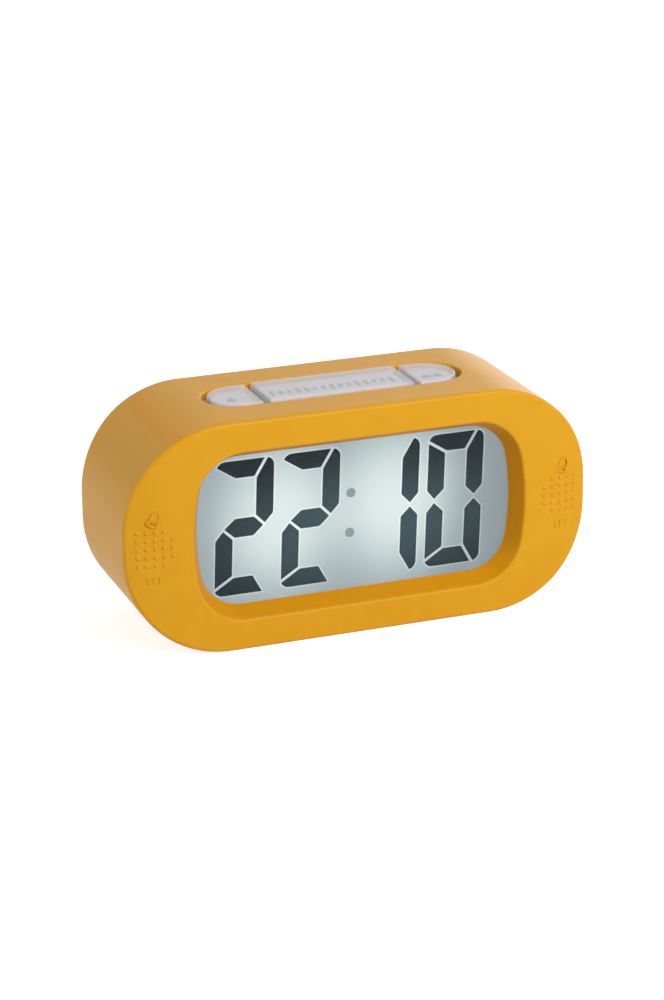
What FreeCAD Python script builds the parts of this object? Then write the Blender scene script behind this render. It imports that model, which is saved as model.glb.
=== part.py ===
import FreeCAD, Part
import math
import os
import Sketcher

# Digital alarm clock: a pill-shaped plastic case inside a pull-over silicone sleeve.
# Millimetres. X is the viewer's right, the display faces -Y and +Z is up. The origin is
# at the middle of the underside. Every sub-part is drawn about the middle of the clock
# and is lifted by half the body height. "Depth" is the distance behind the front face.

DIMENSIONS = [
    # overall body
    ("body_width", 140.0), ("body_height", 67.8), ("body_depth", 47.4),
    ("end_flat", 7.0), ("roll_start", 15.0), ("roll_radius", 50.0),
    ("front_round", 1.2), ("rear_round", 1.9),
    # general clearances
    ("fit_gap", 0.1), ("move_gap", 0.3), ("hair_gap", 0.05),
    # silicone sleeve
    ("sleeve_wall", 2.4), ("window_side", 22.5), ("window_above", 11.8),
    ("window_corner", 11.8), ("window_end", 71.0), ("window_flare", 2.8),
    ("window_depth", 6.1), ("lip_round", 0.9), ("rim_wall", 1.0),
    ("slot_end", 0.4), ("slot_width", 19.4), ("slot_round", 0.5),
    ("opening_side", 13.0), ("opening_gap", 2.4), ("opening_corner", 16.0),
    ("opening_round", 0.8),
    # raised marks on the sleeve's press fields
    ("dot_pitch", 2.45), ("dot_size", 1.4), ("dot_rise", 0.45), ("dot_side", 3.8),
    ("mark_rise", 0.4), ("mark_side", 8.2), ("bell_up", 8.7), ("bell_tall", 4.6),
    ("bell_shift", 0.4), ("bell_ridge", 0.5), ("bell_lean", 24.0),
    ("bar_down", 9.3), ("bar_tall", 2.0), ("bar_wide", 0.8), ("bar_pitch", 1.7),
    # case halves
    ("case_wall", 2.0), ("case_round", 0.8), ("parting_gap", 0.55),
    ("tongue_wall", 0.9), ("tongue_length", 2.0), ("seat_wall", 1.6), ("seat_reach", 3.9),
    ("tower_side", 12.0), ("tower_above", 20.9), ("tower_size", 7.0),
    ("screw_seat", 4.8), ("screw_reach", 7.0),
    # press pads behind the sleeve's dotted fields
    ("pad_side", 10.2), ("pad_size", 7.6), ("pad_setback", 0.8),
    ("pad_flange_gap", 1.5), ("pad_travel", 0.4),
    # display stack
    ("lens_shoulder", 1.1), ("lens_corner", 8.3), ("lens_thickness", 1.1),
    ("tape_thickness", 0.15), ("glass_side", 2.9), ("glass_above", 1.5),
    ("glass_ledge", 2.0), ("glass_thickness", 0.7), ("glass_corner", 3.0),
    ("glass_setback", 1.35), ("ink_thickness", 0.08), ("ink_gap", 0.02),
    # digits
    ("digit_width", 17.1), ("digit_height", 40.0), ("stroke", 5.15),
    ("middle_stroke", 5.55), ("segment_gap", 0.85), ("digit_pitch", 19.9),
    ("pair_pitch", 44.2), ("first_digit", 41.35), ("digit_slant", 2.45),
    ("digit_round", 2.5), ("steep_start", 2.1), ("shallow_start", 1.75),
    ("left_tip", 2.2), ("right_tip", 2.4), ("middle_left_tip", 1.95),
    ("middle_right_tip", 2.3), ("colon_size", 2.8), ("colon_up", 6.0),
    ("colon_across", -0.8),
    # light box behind the display
    ("holder_side", 0.2), ("holder_above", 0.3), ("box_corner", 8.0),
    ("diffuser_side", 0.4), ("diffuser_above", 2.3), ("diffuser_ledge", 2.3),
    ("diffuser_thickness", 1.8), ("lamp_room", 5.13), ("zebra_end", 5.6),
    ("zebra_thickness", 1.8), ("post_side", 6.0), ("post_above", 6.2),
    ("led_size", 3.5), ("led_height", 1.9), ("led_up", 9.7), ("led_left", 21.0),
    ("led_right", 10.0),
    # main board and what is soldered to its rear
    ("board_thickness", 1.2), ("board_side", 1.0), ("board_above", 3.9),
    ("board_flat", 3.0), ("chip_size", 14.0), ("chip_height", 1.6),
    ("chip_across", -10.0), ("chip_up", -2.0), ("crystal_size", 2.0), ("crystal_length", 6.0),
    ("crystal_across", 10.0), ("crystal_up", -8.0), ("capacitor_size", 5.0),
    ("capacitor_length", 7.0), ("capacitor_across", -35.0), ("capacitor_up", -12.0),
    ("smd_length", 2.0), ("smd_width", 1.25), ("smd_height", 0.7), ("smd_pitch", 4.0),
    ("smd_across", 4.0), ("smd_up", -16.0),
    # top keys and their board
    ("slot_gap", 0.8), ("key_end_gap", 1.7), ("key_split", 2.0), ("end_key_length", 13.7),
    ("snooze_proud", 0.6), ("side_proud", 0.3), ("key_travel", 0.8), ("cap_wall", 1.0),
    ("cap_plate", 1.4), ("cap_round", 0.6), ("cap_height", 3.4), ("flange_thickness", 1.0),
    ("key_wall", 1.2), ("stem_size", 4.0), ("switch_size", 6.0), ("switch_height", 3.5),
    ("plunger_size", 3.5), ("plunger_proud", 0.9), ("plunger_hidden", 1.2),
    ("key_board_drop", 11.7), ("key_board_end", 3.0), ("key_post_gap", 2.75),
    ("key_post_size", 5.0),
    # battery bay and door
    ("cell_size", 10.5), ("cell_length", 44.5), ("cell_pitch", 11.2), ("nub_size", 3.8),
    ("nub_length", 0.8), ("spring_length", 5.8), ("spring_size", 6.0), ("spring_wire", 0.55),
    ("plate_thickness", 0.4), ("plate_size", 8.0), ("tab_width", 5.0), ("tab_reach", 3.0),
    ("bay_half_height", 18.2), ("bay_wall", 1.6), ("door_thickness", 1.6),
    ("door_overlap", 2.8), ("door_corner", 3.0), ("collar_depth", 2.5),
    ("rib_thickness", 0.9), ("rib_depth", 3.0), ("rib_length", 40.0),
    ("grip_across", 20.0), ("grip_pitch", 2.2), ("grip_height", 14.0), ("grip_depth", 0.5),
    ("lug_reach", 6.1), ("lug_size", 9.0), ("lug_boss_depth", 7.5),
    ("door_screw_size", 2.2), ("door_screw_head", 3.8), ("door_screw_length", 6.5),
    ("door_screw_sink", 0.8),
    # sounder
    ("sounder_gap", 2.3), ("sounder_size", 20.0), ("sounder_thickness", 0.3),
    ("sounder_ring_height", 1.5), ("ceramic_size", 14.0), ("ceramic_thickness", 0.25),
    ("sound_hole", 1.7), ("sound_ring", 4.5),
    # fasteners and small parts
    ("case_screw_size", 2.6), ("case_screw_head", 4.8), ("board_screw_size", 2.0),
    ("board_screw_head", 3.8), ("board_screw_head_height", 1.2),
    ("board_screw_reach", 3.6), ("wire_size", 1.2), ("ribbon_width", 8.0),
    ("ribbon_thickness", 0.8), ("ribbon_across", 8.0), ("ribbon_reach", 4.0),
    ("ribbon_drop", 8.0), ("lead_slack", 2.3), ("lead_shift", 5.0), ("lead_lower", 3.0),
    ("sounder_run", 8.0), ("sounder_shift", 6.0),
]

doc = FreeCAD.newDocument("alarm_clock")
sheet = doc.addObject("Spreadsheet::Sheet", "dimensions")
for row, (alias, number) in enumerate(DIMENSIONS, 1):
    sheet.set(f"A{row}", alias)
    sheet.set(f"B{row}", str(number))
    sheet.setAlias(f"B{row}", alias)
doc.recompute()


class Size:
    """A number together with the spreadsheet formula that it comes from."""

    def __init__(self, value, formula):
        self.value = float(value)
        self.formula = formula

    def __float__(self):
        return self.value

    def __neg__(self):
        return Size(-self.value, f"(0 - {self.formula})")

    def __add__(self, other):
        other = sized(other)
        return Size(self.value + other.value, f"({self.formula} + {other.formula})")

    def __sub__(self, other):
        other = sized(other)
        return Size(self.value - other.value, f"({self.formula} - {other.formula})")

    def __mul__(self, other):
        other = sized(other)
        return Size(self.value * other.value, f"({self.formula} * {other.formula})")

    def __truediv__(self, other):
        other = sized(other)
        return Size(self.value / other.value, f"({self.formula} / {other.formula})")

    def __radd__(self, other):
        return sized(other) + self

    def __rsub__(self, other):
        return sized(other) - self

    def __rmul__(self, other):
        return sized(other) * self


def sized(number):
    """A plain number as a Size, and a Size as it is."""
    if isinstance(number, Size):
        return number
    return Size(number, f"({float(number):.6f})")


class Dimensions:
    """Gives each cell of the sheet as a Size by its alias."""

    def __getattr__(self, alias):
        return Size(sheet.get(alias), f"dimensions.{alias}")


size = Dimensions()
nodes = {}


def bind(target, prop, length):
    """Ties a property to its formula, or sets a plain number."""
    target.setExpression(prop, sized(length).formula)


def place(target, across=0.0, back=0.0, up=0.0, axis=None, turn=0.0):
    """Puts an object at a bound position, turned about an axis by degrees."""
    if axis is not None:
        rotation = FreeCAD.Rotation(FreeCAD.Vector(*axis), turn)
        target.Placement = FreeCAD.Placement(FreeCAD.Vector(), rotation)
    bind(target, "Placement.Base.x", across)
    bind(target, "Placement.Base.y", back)
    bind(target, "Placement.Base.z", up)


def at_depth(depth):
    """The Y coordinate of a plane that lies this far behind the front face."""
    return depth - size.body_depth / 2


def keep(name, target, across=0.0, back=0.0, up=0.0, axis=None, turn=0.0):
    """Registers an object as a sub-part, standing with the clock on z = 0."""
    target.Label = name
    place(target, across, back, size.body_height / 2 + up, axis, turn)
    nodes[name] = target


# ---------------------------------------------------------------- sizes worked out

# outline of the body, the sleeve's window and the skins
CORNER = (size.body_height - size.end_flat) / 2
FLAT_HALF = size.body_width / 2 - size.roll_start
WINDOW_WIDTH = size.body_width - 2 * size.window_side
WINDOW_HEIGHT = size.body_height - 2 * size.window_above
SKIN = size.sleeve_wall + size.fit_gap
INSIDE = SKIN + size.case_wall

# depths of the display stack and the main board behind it
SEAT_END = size.window_depth + size.seat_reach
HOLDER_DEPTH = size.window_depth + size.glass_setback - size.fit_gap
INK_DEPTH = size.window_depth + size.glass_setback + size.glass_thickness + size.ink_gap
REAR_GLASS_DEPTH = INK_DEPTH + size.ink_thickness + size.ink_gap
GLASS_BACK = REAR_GLASS_DEPTH + size.glass_thickness
DIFFUSER_DEPTH = GLASS_BACK + 2 * size.hair_gap
BOARD_DEPTH = DIFFUSER_DEPTH + size.diffuser_thickness + size.lamp_room
BOARD_BACK = BOARD_DEPTH + size.board_thickness
CASE_SCREW_SEAT = BOARD_BACK + size.screw_seat

# outlines of the display stack and the main board
LENS_MARGIN = size.window_flare + size.rim_wall + size.fit_gap + size.lens_shoulder
LENS_WIDTH = WINDOW_WIDTH + 2 * LENS_MARGIN
LENS_HEIGHT = WINDOW_HEIGHT + 2 * LENS_MARGIN
HOLDER_WIDTH = LENS_WIDTH - 2 * size.holder_side
HOLDER_HEIGHT = LENS_HEIGHT - 2 * size.holder_above
GLASS_WIDTH = LENS_WIDTH - 2 * size.glass_side
GLASS_HEIGHT = LENS_HEIGHT - 2 * size.glass_above
DIFFUSER_WIDTH = GLASS_WIDTH - 2 * size.diffuser_side
DIFFUSER_HEIGHT = GLASS_HEIGHT - 2 * size.diffuser_above
BOX_WIDTH = DIFFUSER_WIDTH - 2 * size.diffuser_ledge
BOX_HEIGHT = DIFFUSER_HEIGHT - 2 * size.diffuser_ledge
ZEBRA_LENGTH = GLASS_WIDTH - 2 * size.zebra_end
ZEBRA_UP = -(GLASS_HEIGHT - size.glass_ledge) / 2
BOARD_WIDTH = size.body_width - 2 * (INSIDE + size.board_side)
BOARD_HEIGHT = size.body_height - 2 * (INSIDE + size.board_above)
TOWERS = [(side * (size.body_width / 2 - size.tower_side),
           level * (size.body_height / 2 - size.tower_above))
          for side in (-1, 1) for level in (-1, 1)]
HOLDER_POSTS = [(side * (HOLDER_WIDTH / 2 - size.post_side),
                 level * (HOLDER_HEIGHT / 2 - size.post_above))
                for side in (-1, 1) for level in (-1, 1)]

# press pads
PAD_ACROSS = size.body_width / 2 - size.pad_side
PAD_FACE = SKIN + size.pad_setback
PAD_FLANGE = INSIDE + size.pad_flange_gap
PAD_SWITCH_FRONT = BOARD_DEPTH - size.switch_height
PAD_PLUNGER_FRONT = PAD_SWITCH_FRONT - size.plunger_proud

# top keys, and the parting line that clears them
SLOT_LENGTH = size.body_width - 2 * (CORNER + size.slot_end)
KEY_WIDTH = size.slot_width - 2 * size.slot_gap
KEY_OUTER = SLOT_LENGTH / 2 - size.key_end_gap
KEY_INNER = KEY_OUTER - size.end_key_length
KEY_MIDDLE = (KEY_INNER + KEY_OUTER) / 2
SNOOZE_HALF = KEY_INNER - size.key_split
KEY_FLANGE = (size.key_split - size.move_gap) / 2
FLANGE_TOP = size.body_height / 2 - INSIDE - size.move_gap
PARTING = (size.body_depth / 2 + KEY_WIDTH / 2 + KEY_FLANGE + size.parting_gap
           + size.tongue_length)

# battery bay, door, rear opening and sounder
REAR_FACE = size.body_depth - SKIN
REAR_INSIDE = REAR_FACE - size.case_wall
DOOR_INSIDE = REAR_FACE - size.door_thickness
CELL_DEPTH = DOOR_INSIDE - size.move_gap - size.cell_size / 2
BAY_FLOOR = CELL_DEPTH - size.cell_size / 2 - size.move_gap
BAY_HALF = (size.cell_length + size.spring_length) / 2 + size.plate_thickness + size.hair_gap
CONTACT_FACE = BAY_HALF - size.hair_gap - size.plate_thickness
DOOR_HALF = BAY_HALF + size.door_overlap
DOOR_HALF_HEIGHT = size.bay_half_height + size.door_overlap / 2
LUG_ACROSS = DOOR_HALF + size.lug_reach
SCREW_SEAT = REAR_FACE - size.door_screw_sink
OPENING_WIDTH = size.body_width - 2 * size.opening_side
OPENING_HEIGHT = 2 * (DOOR_HALF_HEIGHT + size.opening_gap)
SOUNDER_ROOM = size.sounder_size + 2 * size.fit_gap
SOUNDER_ACROSS = (BAY_HALF + size.bay_wall + size.sounder_gap + SOUNDER_ROOM / 2
                  + size.tongue_wall)
DISC_FRONT = REAR_INSIDE - size.hair_gap - size.sounder_thickness

# key board, between the main board's screws and the battery bay
KEY_BOARD_UP = size.body_height / 2 - size.key_board_drop
KEY_BOARD_FRONT = BOARD_BACK + size.board_screw_head_height + size.move_gap
KEY_BOARD_REAR = BAY_FLOOR - size.bay_wall - size.move_gap
KEY_BOARD_Y = at_depth((KEY_BOARD_FRONT + KEY_BOARD_REAR) / 2)
KEY_POST_ACROSS = KEY_OUTER + KEY_FLANGE + size.key_post_gap + size.key_post_size / 2
KEY_BOARD_HALF = KEY_POST_ACROSS + size.key_board_end
SWITCH_TOP = KEY_BOARD_UP + size.switch_height
PLUNGER_TOP = SWITCH_TOP + size.plunger_proud


# ---------------------------------------------------------------- Part helpers

def box(name, width, depth, height, across=0.0, back=0.0, up=0.0):
    """A block centred on its place."""
    block = doc.addObject("Part::Box", name)
    bind(block, "Length", width)
    bind(block, "Width", depth)
    bind(block, "Height", height)
    place(block, sized(across) - sized(width) / 2, sized(back) - sized(depth) / 2,
          sized(up) - sized(height) / 2)
    return block


def rod(name, diameter, length, across=0.0, back=0.0, up=0.0, along="y"):
    """A cylinder that starts at its place and runs along +Y, -Y, +Z, -Z or +X."""
    turns = {"y": ((1, 0, 0), -90), "-y": ((1, 0, 0), 90), "z": ((0, 0, 1), 0),
             "-z": ((1, 0, 0), 180), "x": ((0, 1, 0), 90)}
    axis, turn = turns[along]
    cylinder = doc.addObject("Part::Cylinder", name)
    bind(cylinder, "Radius", sized(diameter) / 2)
    bind(cylinder, "Height", length)
    place(cylinder, across, back, up, axis, turn)
    return cylinder


def cut(name, base, tool):
    """The base with the tool taken away."""
    result = doc.addObject("Part::Cut", name)
    result.Base = base
    result.Tool = tool
    return result


def fuse(name, parts):
    """Several objects joined, or kept side by side where they don't touch."""
    result = doc.addObject("Part::MultiFuse", name)
    result.Shapes = parts
    return result


def cut_all(name, base, tools):
    """The base with several tools taken away."""
    return cut(name, base, fuse(name + "_tools", tools) if len(tools) > 1 else tools[0])


# ---------------------------------------------------------------- sketch helpers

def new_body(name):
    """An empty PartDesign body."""
    return doc.addObject("PartDesign::Body", name)


def new_sketch(body, name, plane="XZ_Plane", across=0.0, along=0.0, lift=0.0):
    """A sketch on one of the body's origin planes, moved in it and lifted off it."""
    features = body.Origin.OriginFeatures
    support = next(feature for feature in features if feature.Role == plane)
    sketch = body.newObject("Sketcher::SketchObject", name)
    sketch.AttachmentSupport = [(support, "")]
    sketch.MapMode = "FlatFace"
    bind(sketch, "AttachmentOffset.Base.x", across)
    bind(sketch, "AttachmentOffset.Base.y", along)
    bind(sketch, "AttachmentOffset.Base.z", lift)
    return sketch


def front_sketch(body, name, depth, across=0.0, up=0.0):
    """A sketch parallel to the front face at a depth; its normal points to the viewer."""
    return new_sketch(body, name, "XZ_Plane", across, up, -at_depth(depth))


def limit(sketch, name, kind, *where):
    """Adds a named dimensional constraint and ties it to its formula."""
    length = where[-1]
    index = sketch.addConstraint(Sketcher.Constraint(kind, *where[:-1], float(length)))
    sketch.renameConstraint(index, name)
    bind(sketch, f"Constraints.{name}", length)


def relate(sketch, kind, *where):
    """Adds a geometric constraint."""
    sketch.addConstraint(Sketcher.Constraint(kind, *where))


def line(sketch, start, end):
    """Adds a line segment and returns its index."""
    segment = Part.LineSegment(FreeCAD.Vector(*start, 0), FreeCAD.Vector(*end, 0))
    return sketch.addGeometry(segment, False)


def arc(sketch, centre, radius, start, end):
    """Adds an anticlockwise arc between two angles in radians and returns its index."""
    circle = Part.Circle(FreeCAD.Vector(*centre, 0), FreeCAD.Vector(0, 0, 1), radius)
    return sketch.addGeometry(Part.ArcOfCircle(circle, start, end), False)


def circle(sketch, diameter):
    """Draws a circle about the sketch's origin."""
    ring = Part.Circle(FreeCAD.Vector(), FreeCAD.Vector(0, 0, 1), float(diameter) / 2)
    index = sketch.addGeometry(ring, False)
    relate(sketch, "Coincident", index, 3, -1, 1)
    limit(sketch, "diameter", "Diameter", index, diameter)


def rectangle(sketch, width, height):
    """Draws a sharp-cornered rectangle about the sketch's origin."""
    half_w, half_h = float(width) / 2, float(height) / 2
    corners = [(-half_w, -half_h), (half_w, -half_h), (half_w, half_h), (-half_w, half_h)]
    sides = [line(sketch, corners[n], corners[(n + 1) % 4]) for n in range(4)]
    for n in range(4):
        relate(sketch, "Coincident", sides[n], 2, sides[(n + 1) % 4], 1)
    for n, kind in enumerate(("Horizontal", "Vertical", "Horizontal", "Vertical")):
        relate(sketch, kind, sides[n])
    relate(sketch, "Symmetric", sides[0], 1, sides[2], 1, -1, 1)
    limit(sketch, "width", "DistanceX", sides[0], 1, sides[0], 2, width)
    limit(sketch, "height", "DistanceY", sides[1], 1, sides[1], 2, height)


def rounded_rectangle(sketch, width, height, radius):
    """Draws a rectangle with round corners about the sketch's origin."""
    half_w, half_h, r = float(width) / 2, float(height) / 2, float(radius)
    in_w, in_h = half_w - r, half_h - r
    quarter = math.pi / 2
    bottom = line(sketch, (-in_w, -half_h), (in_w, -half_h))
    right = line(sketch, (half_w, -in_h), (half_w, in_h))
    top = line(sketch, (in_w, half_h), (-in_w, half_h))
    left = line(sketch, (-half_w, in_h), (-half_w, -in_h))
    centres = [(in_w, -in_h), (in_w, in_h), (-in_w, in_h), (-in_w, -in_h)]
    arcs = [arc(sketch, centres[n], r, (n - 1) * quarter, n * quarter) for n in range(4)]
    sides = [bottom, right, top, left]
    for n in range(4):
        relate(sketch, "Tangent", sides[n], 2, arcs[n], 1)
        relate(sketch, "Tangent", arcs[n], 2, sides[(n + 1) % 4], 1)
        relate(sketch, ("Horizontal", "Vertical")[n % 2], sides[n])
    for n in range(3):
        relate(sketch, "Equal", arcs[n], arcs[n + 1])
    relate(sketch, "Symmetric", arcs[1], 3, arcs[3], 3, -1, 1)
    limit(sketch, "radius", "Radius", arcs[0], radius)
    limit(sketch, "width", "DistanceX", left, 1, right, 1, width)
    limit(sketch, "height", "DistanceY", bottom, 1, top, 1, height)


def stadium(sketch, length, width):
    """Draws a slot with half-round ends about the sketch's origin."""
    reach, r = (float(length) - float(width)) / 2, float(width) / 2
    quarter = math.pi / 2
    bottom = line(sketch, (-reach, -r), (reach, -r))
    right = arc(sketch, (reach, 0), r, -quarter, quarter)
    top = line(sketch, (reach, r), (-reach, r))
    left = arc(sketch, (-reach, 0), r, quarter, 3 * quarter)
    ring = [bottom, right, top, left]
    for n in range(4):
        relate(sketch, "Tangent", ring[n], 2, ring[(n + 1) % 4], 1)
    relate(sketch, "Horizontal", bottom)
    relate(sketch, "Horizontal", top)
    relate(sketch, "Symmetric", right, 3, left, 3, -1, 1)
    limit(sketch, "width", "DistanceY", bottom, 1, top, 2, width)
    limit(sketch, "reach", "DistanceX", bottom, 1, bottom, 2, length - width)


def key_outline(sketch, inner, outer, width):
    """Draws an end key: flat at the inner X, half-round at the outer X."""
    near, far, r = float(inner), float(outer), float(width) / 2
    quarter = math.pi / 2
    bottom = line(sketch, (near, -r), (far - r, -r))
    tip = arc(sketch, (far - r, 0), r, -quarter, quarter)
    top = line(sketch, (far - r, r), (near, r))
    flat = line(sketch, (near, r), (near, -r))
    relate(sketch, "Tangent", bottom, 2, tip, 1)
    relate(sketch, "Tangent", tip, 2, top, 1)
    relate(sketch, "Coincident", top, 2, flat, 1)
    relate(sketch, "Coincident", flat, 2, bottom, 1)
    relate(sketch, "Horizontal", bottom)
    relate(sketch, "Horizontal", top)
    relate(sketch, "Vertical", flat)
    relate(sketch, "PointOnObject", tip, 3, -1)
    limit(sketch, "width", "DistanceY", flat, 2, flat, 1, width)
    limit(sketch, "inner", "DistanceX", -1, 1, flat, 1, inner)
    limit(sketch, "length", "DistanceX", flat, 1, tip, 3, outer - inner - width / 2)


def window_outline(sketch, grow):
    """Draws the display window, larger by "grow" all round: its ends are shallow arcs."""
    width, height = WINDOW_WIDTH + 2 * grow, WINDOW_HEIGHT + 2 * grow
    corner, end = size.window_corner + grow, size.window_end + grow
    half_w, half_h, r, big = (float(width) / 2, float(height) / 2, float(corner), float(end))
    end_x = half_w - big
    lean = math.asin((half_h - r) / (big - r))
    corner_x = end_x + (big - r) * math.cos(lean)
    quarter = math.pi / 2
    bottom = line(sketch, (-corner_x, -half_h), (corner_x, -half_h))
    low_right = arc(sketch, (corner_x, r - half_h), r, -quarter, -lean)
    right = arc(sketch, (end_x, 0), big, -lean, lean)
    top_right = arc(sketch, (corner_x, half_h - r), r, lean, quarter)
    top = line(sketch, (corner_x, half_h), (-corner_x, half_h))
    top_left = arc(sketch, (-corner_x, half_h - r), r, quarter, 2 * quarter - lean)
    left = arc(sketch, (-end_x, 0), big, 2 * quarter - lean, 2 * quarter + lean)
    low_left = arc(sketch, (-corner_x, r - half_h), r, 2 * quarter + lean, 3 * quarter)
    ring = [bottom, low_right, right, top_right, top, top_left, left, low_left]
    for n in range(8):
        relate(sketch, "Tangent", ring[n], 2, ring[(n + 1) % 8], 1)
    relate(sketch, "Horizontal", bottom)
    relate(sketch, "Horizontal", top)
    for other in (top_right, top_left, low_left):
        relate(sketch, "Equal", low_right, other)
    relate(sketch, "Equal", right, left)
    relate(sketch, "Symmetric", right, 3, left, 3, -1, 1)
    relate(sketch, "PointOnObject", right, 3, -1)
    limit(sketch, "corner", "Radius", low_right, corner)
    limit(sketch, "end", "Radius", right, end)
    limit(sketch, "reach", "DistanceX", right, 3, left, 3, 2 * end - width)
    limit(sketch, "height", "DistanceY", bottom, 1, top, 2, height)
    limit(sketch, "above", "DistanceY", -1, 1, top, 2, height / 2)


def plan_outline(sketch, inset):
    """Draws the body seen from above: flat front and back that roll away at the ends."""
    width, depth = size.body_width - 2 * inset, size.body_depth - 2 * inset
    radius, flat = size.roll_radius - inset, FLAT_HALF
    half_w, half_d, r, reach = float(width) / 2, float(depth) / 2, float(radius), float(flat)
    lean = math.asin((half_w - reach) / r)
    drop = r - r * math.cos(lean)
    quarter = math.pi / 2
    front = line(sketch, (-reach, -half_d), (reach, -half_d))
    right_front = arc(sketch, (reach, r - half_d), r, -quarter, lean - quarter)
    right = line(sketch, (half_w, drop - half_d), (half_w, half_d - drop))
    right_back = arc(sketch, (reach, half_d - r), r, quarter - lean, quarter)
    back = line(sketch, (reach, half_d), (-reach, half_d))
    left_back = arc(sketch, (-reach, half_d - r), r, quarter, quarter + lean)
    left = line(sketch, (-half_w, half_d - drop), (-half_w, drop - half_d))
    left_front = arc(sketch, (-reach, r - half_d), r, 3 * quarter - lean, 3 * quarter)
    relate(sketch, "Tangent", front, 2, right_front, 1)
    relate(sketch, "Coincident", right_front, 2, right, 1)
    relate(sketch, "Coincident", right, 2, right_back, 1)
    relate(sketch, "Tangent", right_back, 2, back, 1)
    relate(sketch, "Tangent", back, 2, left_back, 1)
    relate(sketch, "Coincident", left_back, 2, left, 1)
    relate(sketch, "Coincident", left, 2, left_front, 1)
    relate(sketch, "Tangent", left_front, 2, front, 1)
    for side, kind in ((front, "Horizontal"), (right, "Vertical"), (left, "Vertical")):
        relate(sketch, kind, side)
    for other in (right_back, left_back, left_front):
        relate(sketch, "Equal", right_front, other)
    relate(sketch, "Symmetric", front, 1, back, 1, -1, 1)
    relate(sketch, "Symmetric", front, 2, back, 2, -1, 1)
    limit(sketch, "radius", "Radius", right_front, radius)
    limit(sketch, "width", "DistanceX", left, 1, right, 1, width)
    limit(sketch, "depth", "DistanceY", front, 1, back, 2, depth)
    limit(sketch, "reach", "DistanceX", -1, 1, front, 2, flat)
    limit(sketch, "reach_left", "DistanceX", front, 1, -1, 1, flat)


# ---------------------------------------------------------------- feature helpers

def solid_volume(body):
    """The body's volume after a recompute."""
    doc.recompute()
    return body.Shape.Volume


def pad(body, name, sketch, length, side="back"):
    """Pads a sketch to the back, to the front or to both sides; it has to add material."""
    before = body.Shape.Volume if body.Tip else 0.0
    feature = body.newObject("PartDesign::Pad", name)
    feature.Profile = sketch
    bind(feature, "Length", length)
    feature.SideType = "Symmetric" if side == "both" else "One side"
    feature.Reversed = side in ("back", "down")
    if solid_volume(body) <= before:
        raise RuntimeError(f"{body.Name}: pad {name} added nothing")
    return feature


def pocket(body, name, sketch, length, side="back"):
    """Cuts a sketch to the back, front, down or both sides; it has to remove material."""
    before = body.Shape.Volume
    feature = body.newObject("PartDesign::Pocket", name)
    feature.Profile = sketch
    bind(feature, "Length", length)
    feature.SideType = "Symmetric" if side == "both" else "One side"
    feature.Reversed = side in ("front", "up")
    if solid_volume(body) >= before:
        raise RuntimeError(f"{body.Name}: pocket {name} removed nothing")
    return feature


def combine(body, name, kind, tool):
    """Cuts the body with another body, or keeps what they share."""
    feature = body.newObject("PartDesign::Boolean", name)
    feature.Type = kind
    feature.setObjects([tool])
    doc.recompute()
    return feature


def fillet(body, name, radius, chosen):
    """Rounds the edges of the body's tip that the test "chosen" accepts."""
    base = body.Tip
    names = [f"Edge{n}" for n, edge in enumerate(base.Shape.Edges, 1) if chosen(edge)]
    if not names:
        raise RuntimeError(f"{body.Name}: no edges for fillet {name}")
    feature = body.newObject("PartDesign::Fillet", name)
    feature.Base = (base, names)
    bind(feature, "Radius", radius)
    doc.recompute()
    return feature


def middle(edge):
    """The point half way along an edge."""
    return edge.valueAt((edge.FirstParameter + edge.LastParameter) / 2)


def spans(edge, axis):
    """How far an edge reaches along an axis, as the size of its bounding box."""
    bounds = edge.BoundBox
    return {"x": bounds.XLength, "y": bounds.YLength, "z": bounds.ZLength}[axis]


def pod(name, inset, front_round=None, rear_round=None):
    """The clock's body shape, smaller by "inset" all round, with its face edges rounded."""
    plan = new_body(name + "_plan")
    sketch = new_sketch(plan, name + "_plan_sketch", "XY_Plane")
    plan_outline(sketch, inset)
    pad(plan, name + "_plan_pad", sketch, size.body_height, "both")
    body = new_body(name)
    outline = new_sketch(body, name + "_outline")
    rounded_rectangle(outline, size.body_width - 2 * inset, size.body_height - 2 * inset,
                      CORNER - inset)
    pad(body, name + "_pad", outline, size.body_depth, "both")
    combine(body, name + "_roll", "Common", plan)

    def on_face_edge(edge, sign):
        point = middle(edge)
        seam = spans(edge, "x") < 0.01 and abs(point.x) < float(FLAT_HALF) + 0.5
        return point.y * sign > 0 and spans(edge, "y") < float(size.body_depth) / 4 and not seam

    if front_round is not None:
        fillet(body, name + "_front_round", front_round, lambda edge: on_face_edge(edge, -1))
    if rear_round is not None:
        fillet(body, name + "_rear_round", rear_round, lambda edge: on_face_edge(edge, 1))
    return body


# ---------------------------------------------------------------- silicone sleeve

def face_drop(across):
    """How far the front face has rolled back at a distance from the centre line."""
    beyond = max(0.0, abs(float(across)) - float(FLAT_HALF))
    radius = float(size.roll_radius)
    return radius - math.sqrt(radius ** 2 - beyond ** 2)


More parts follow.
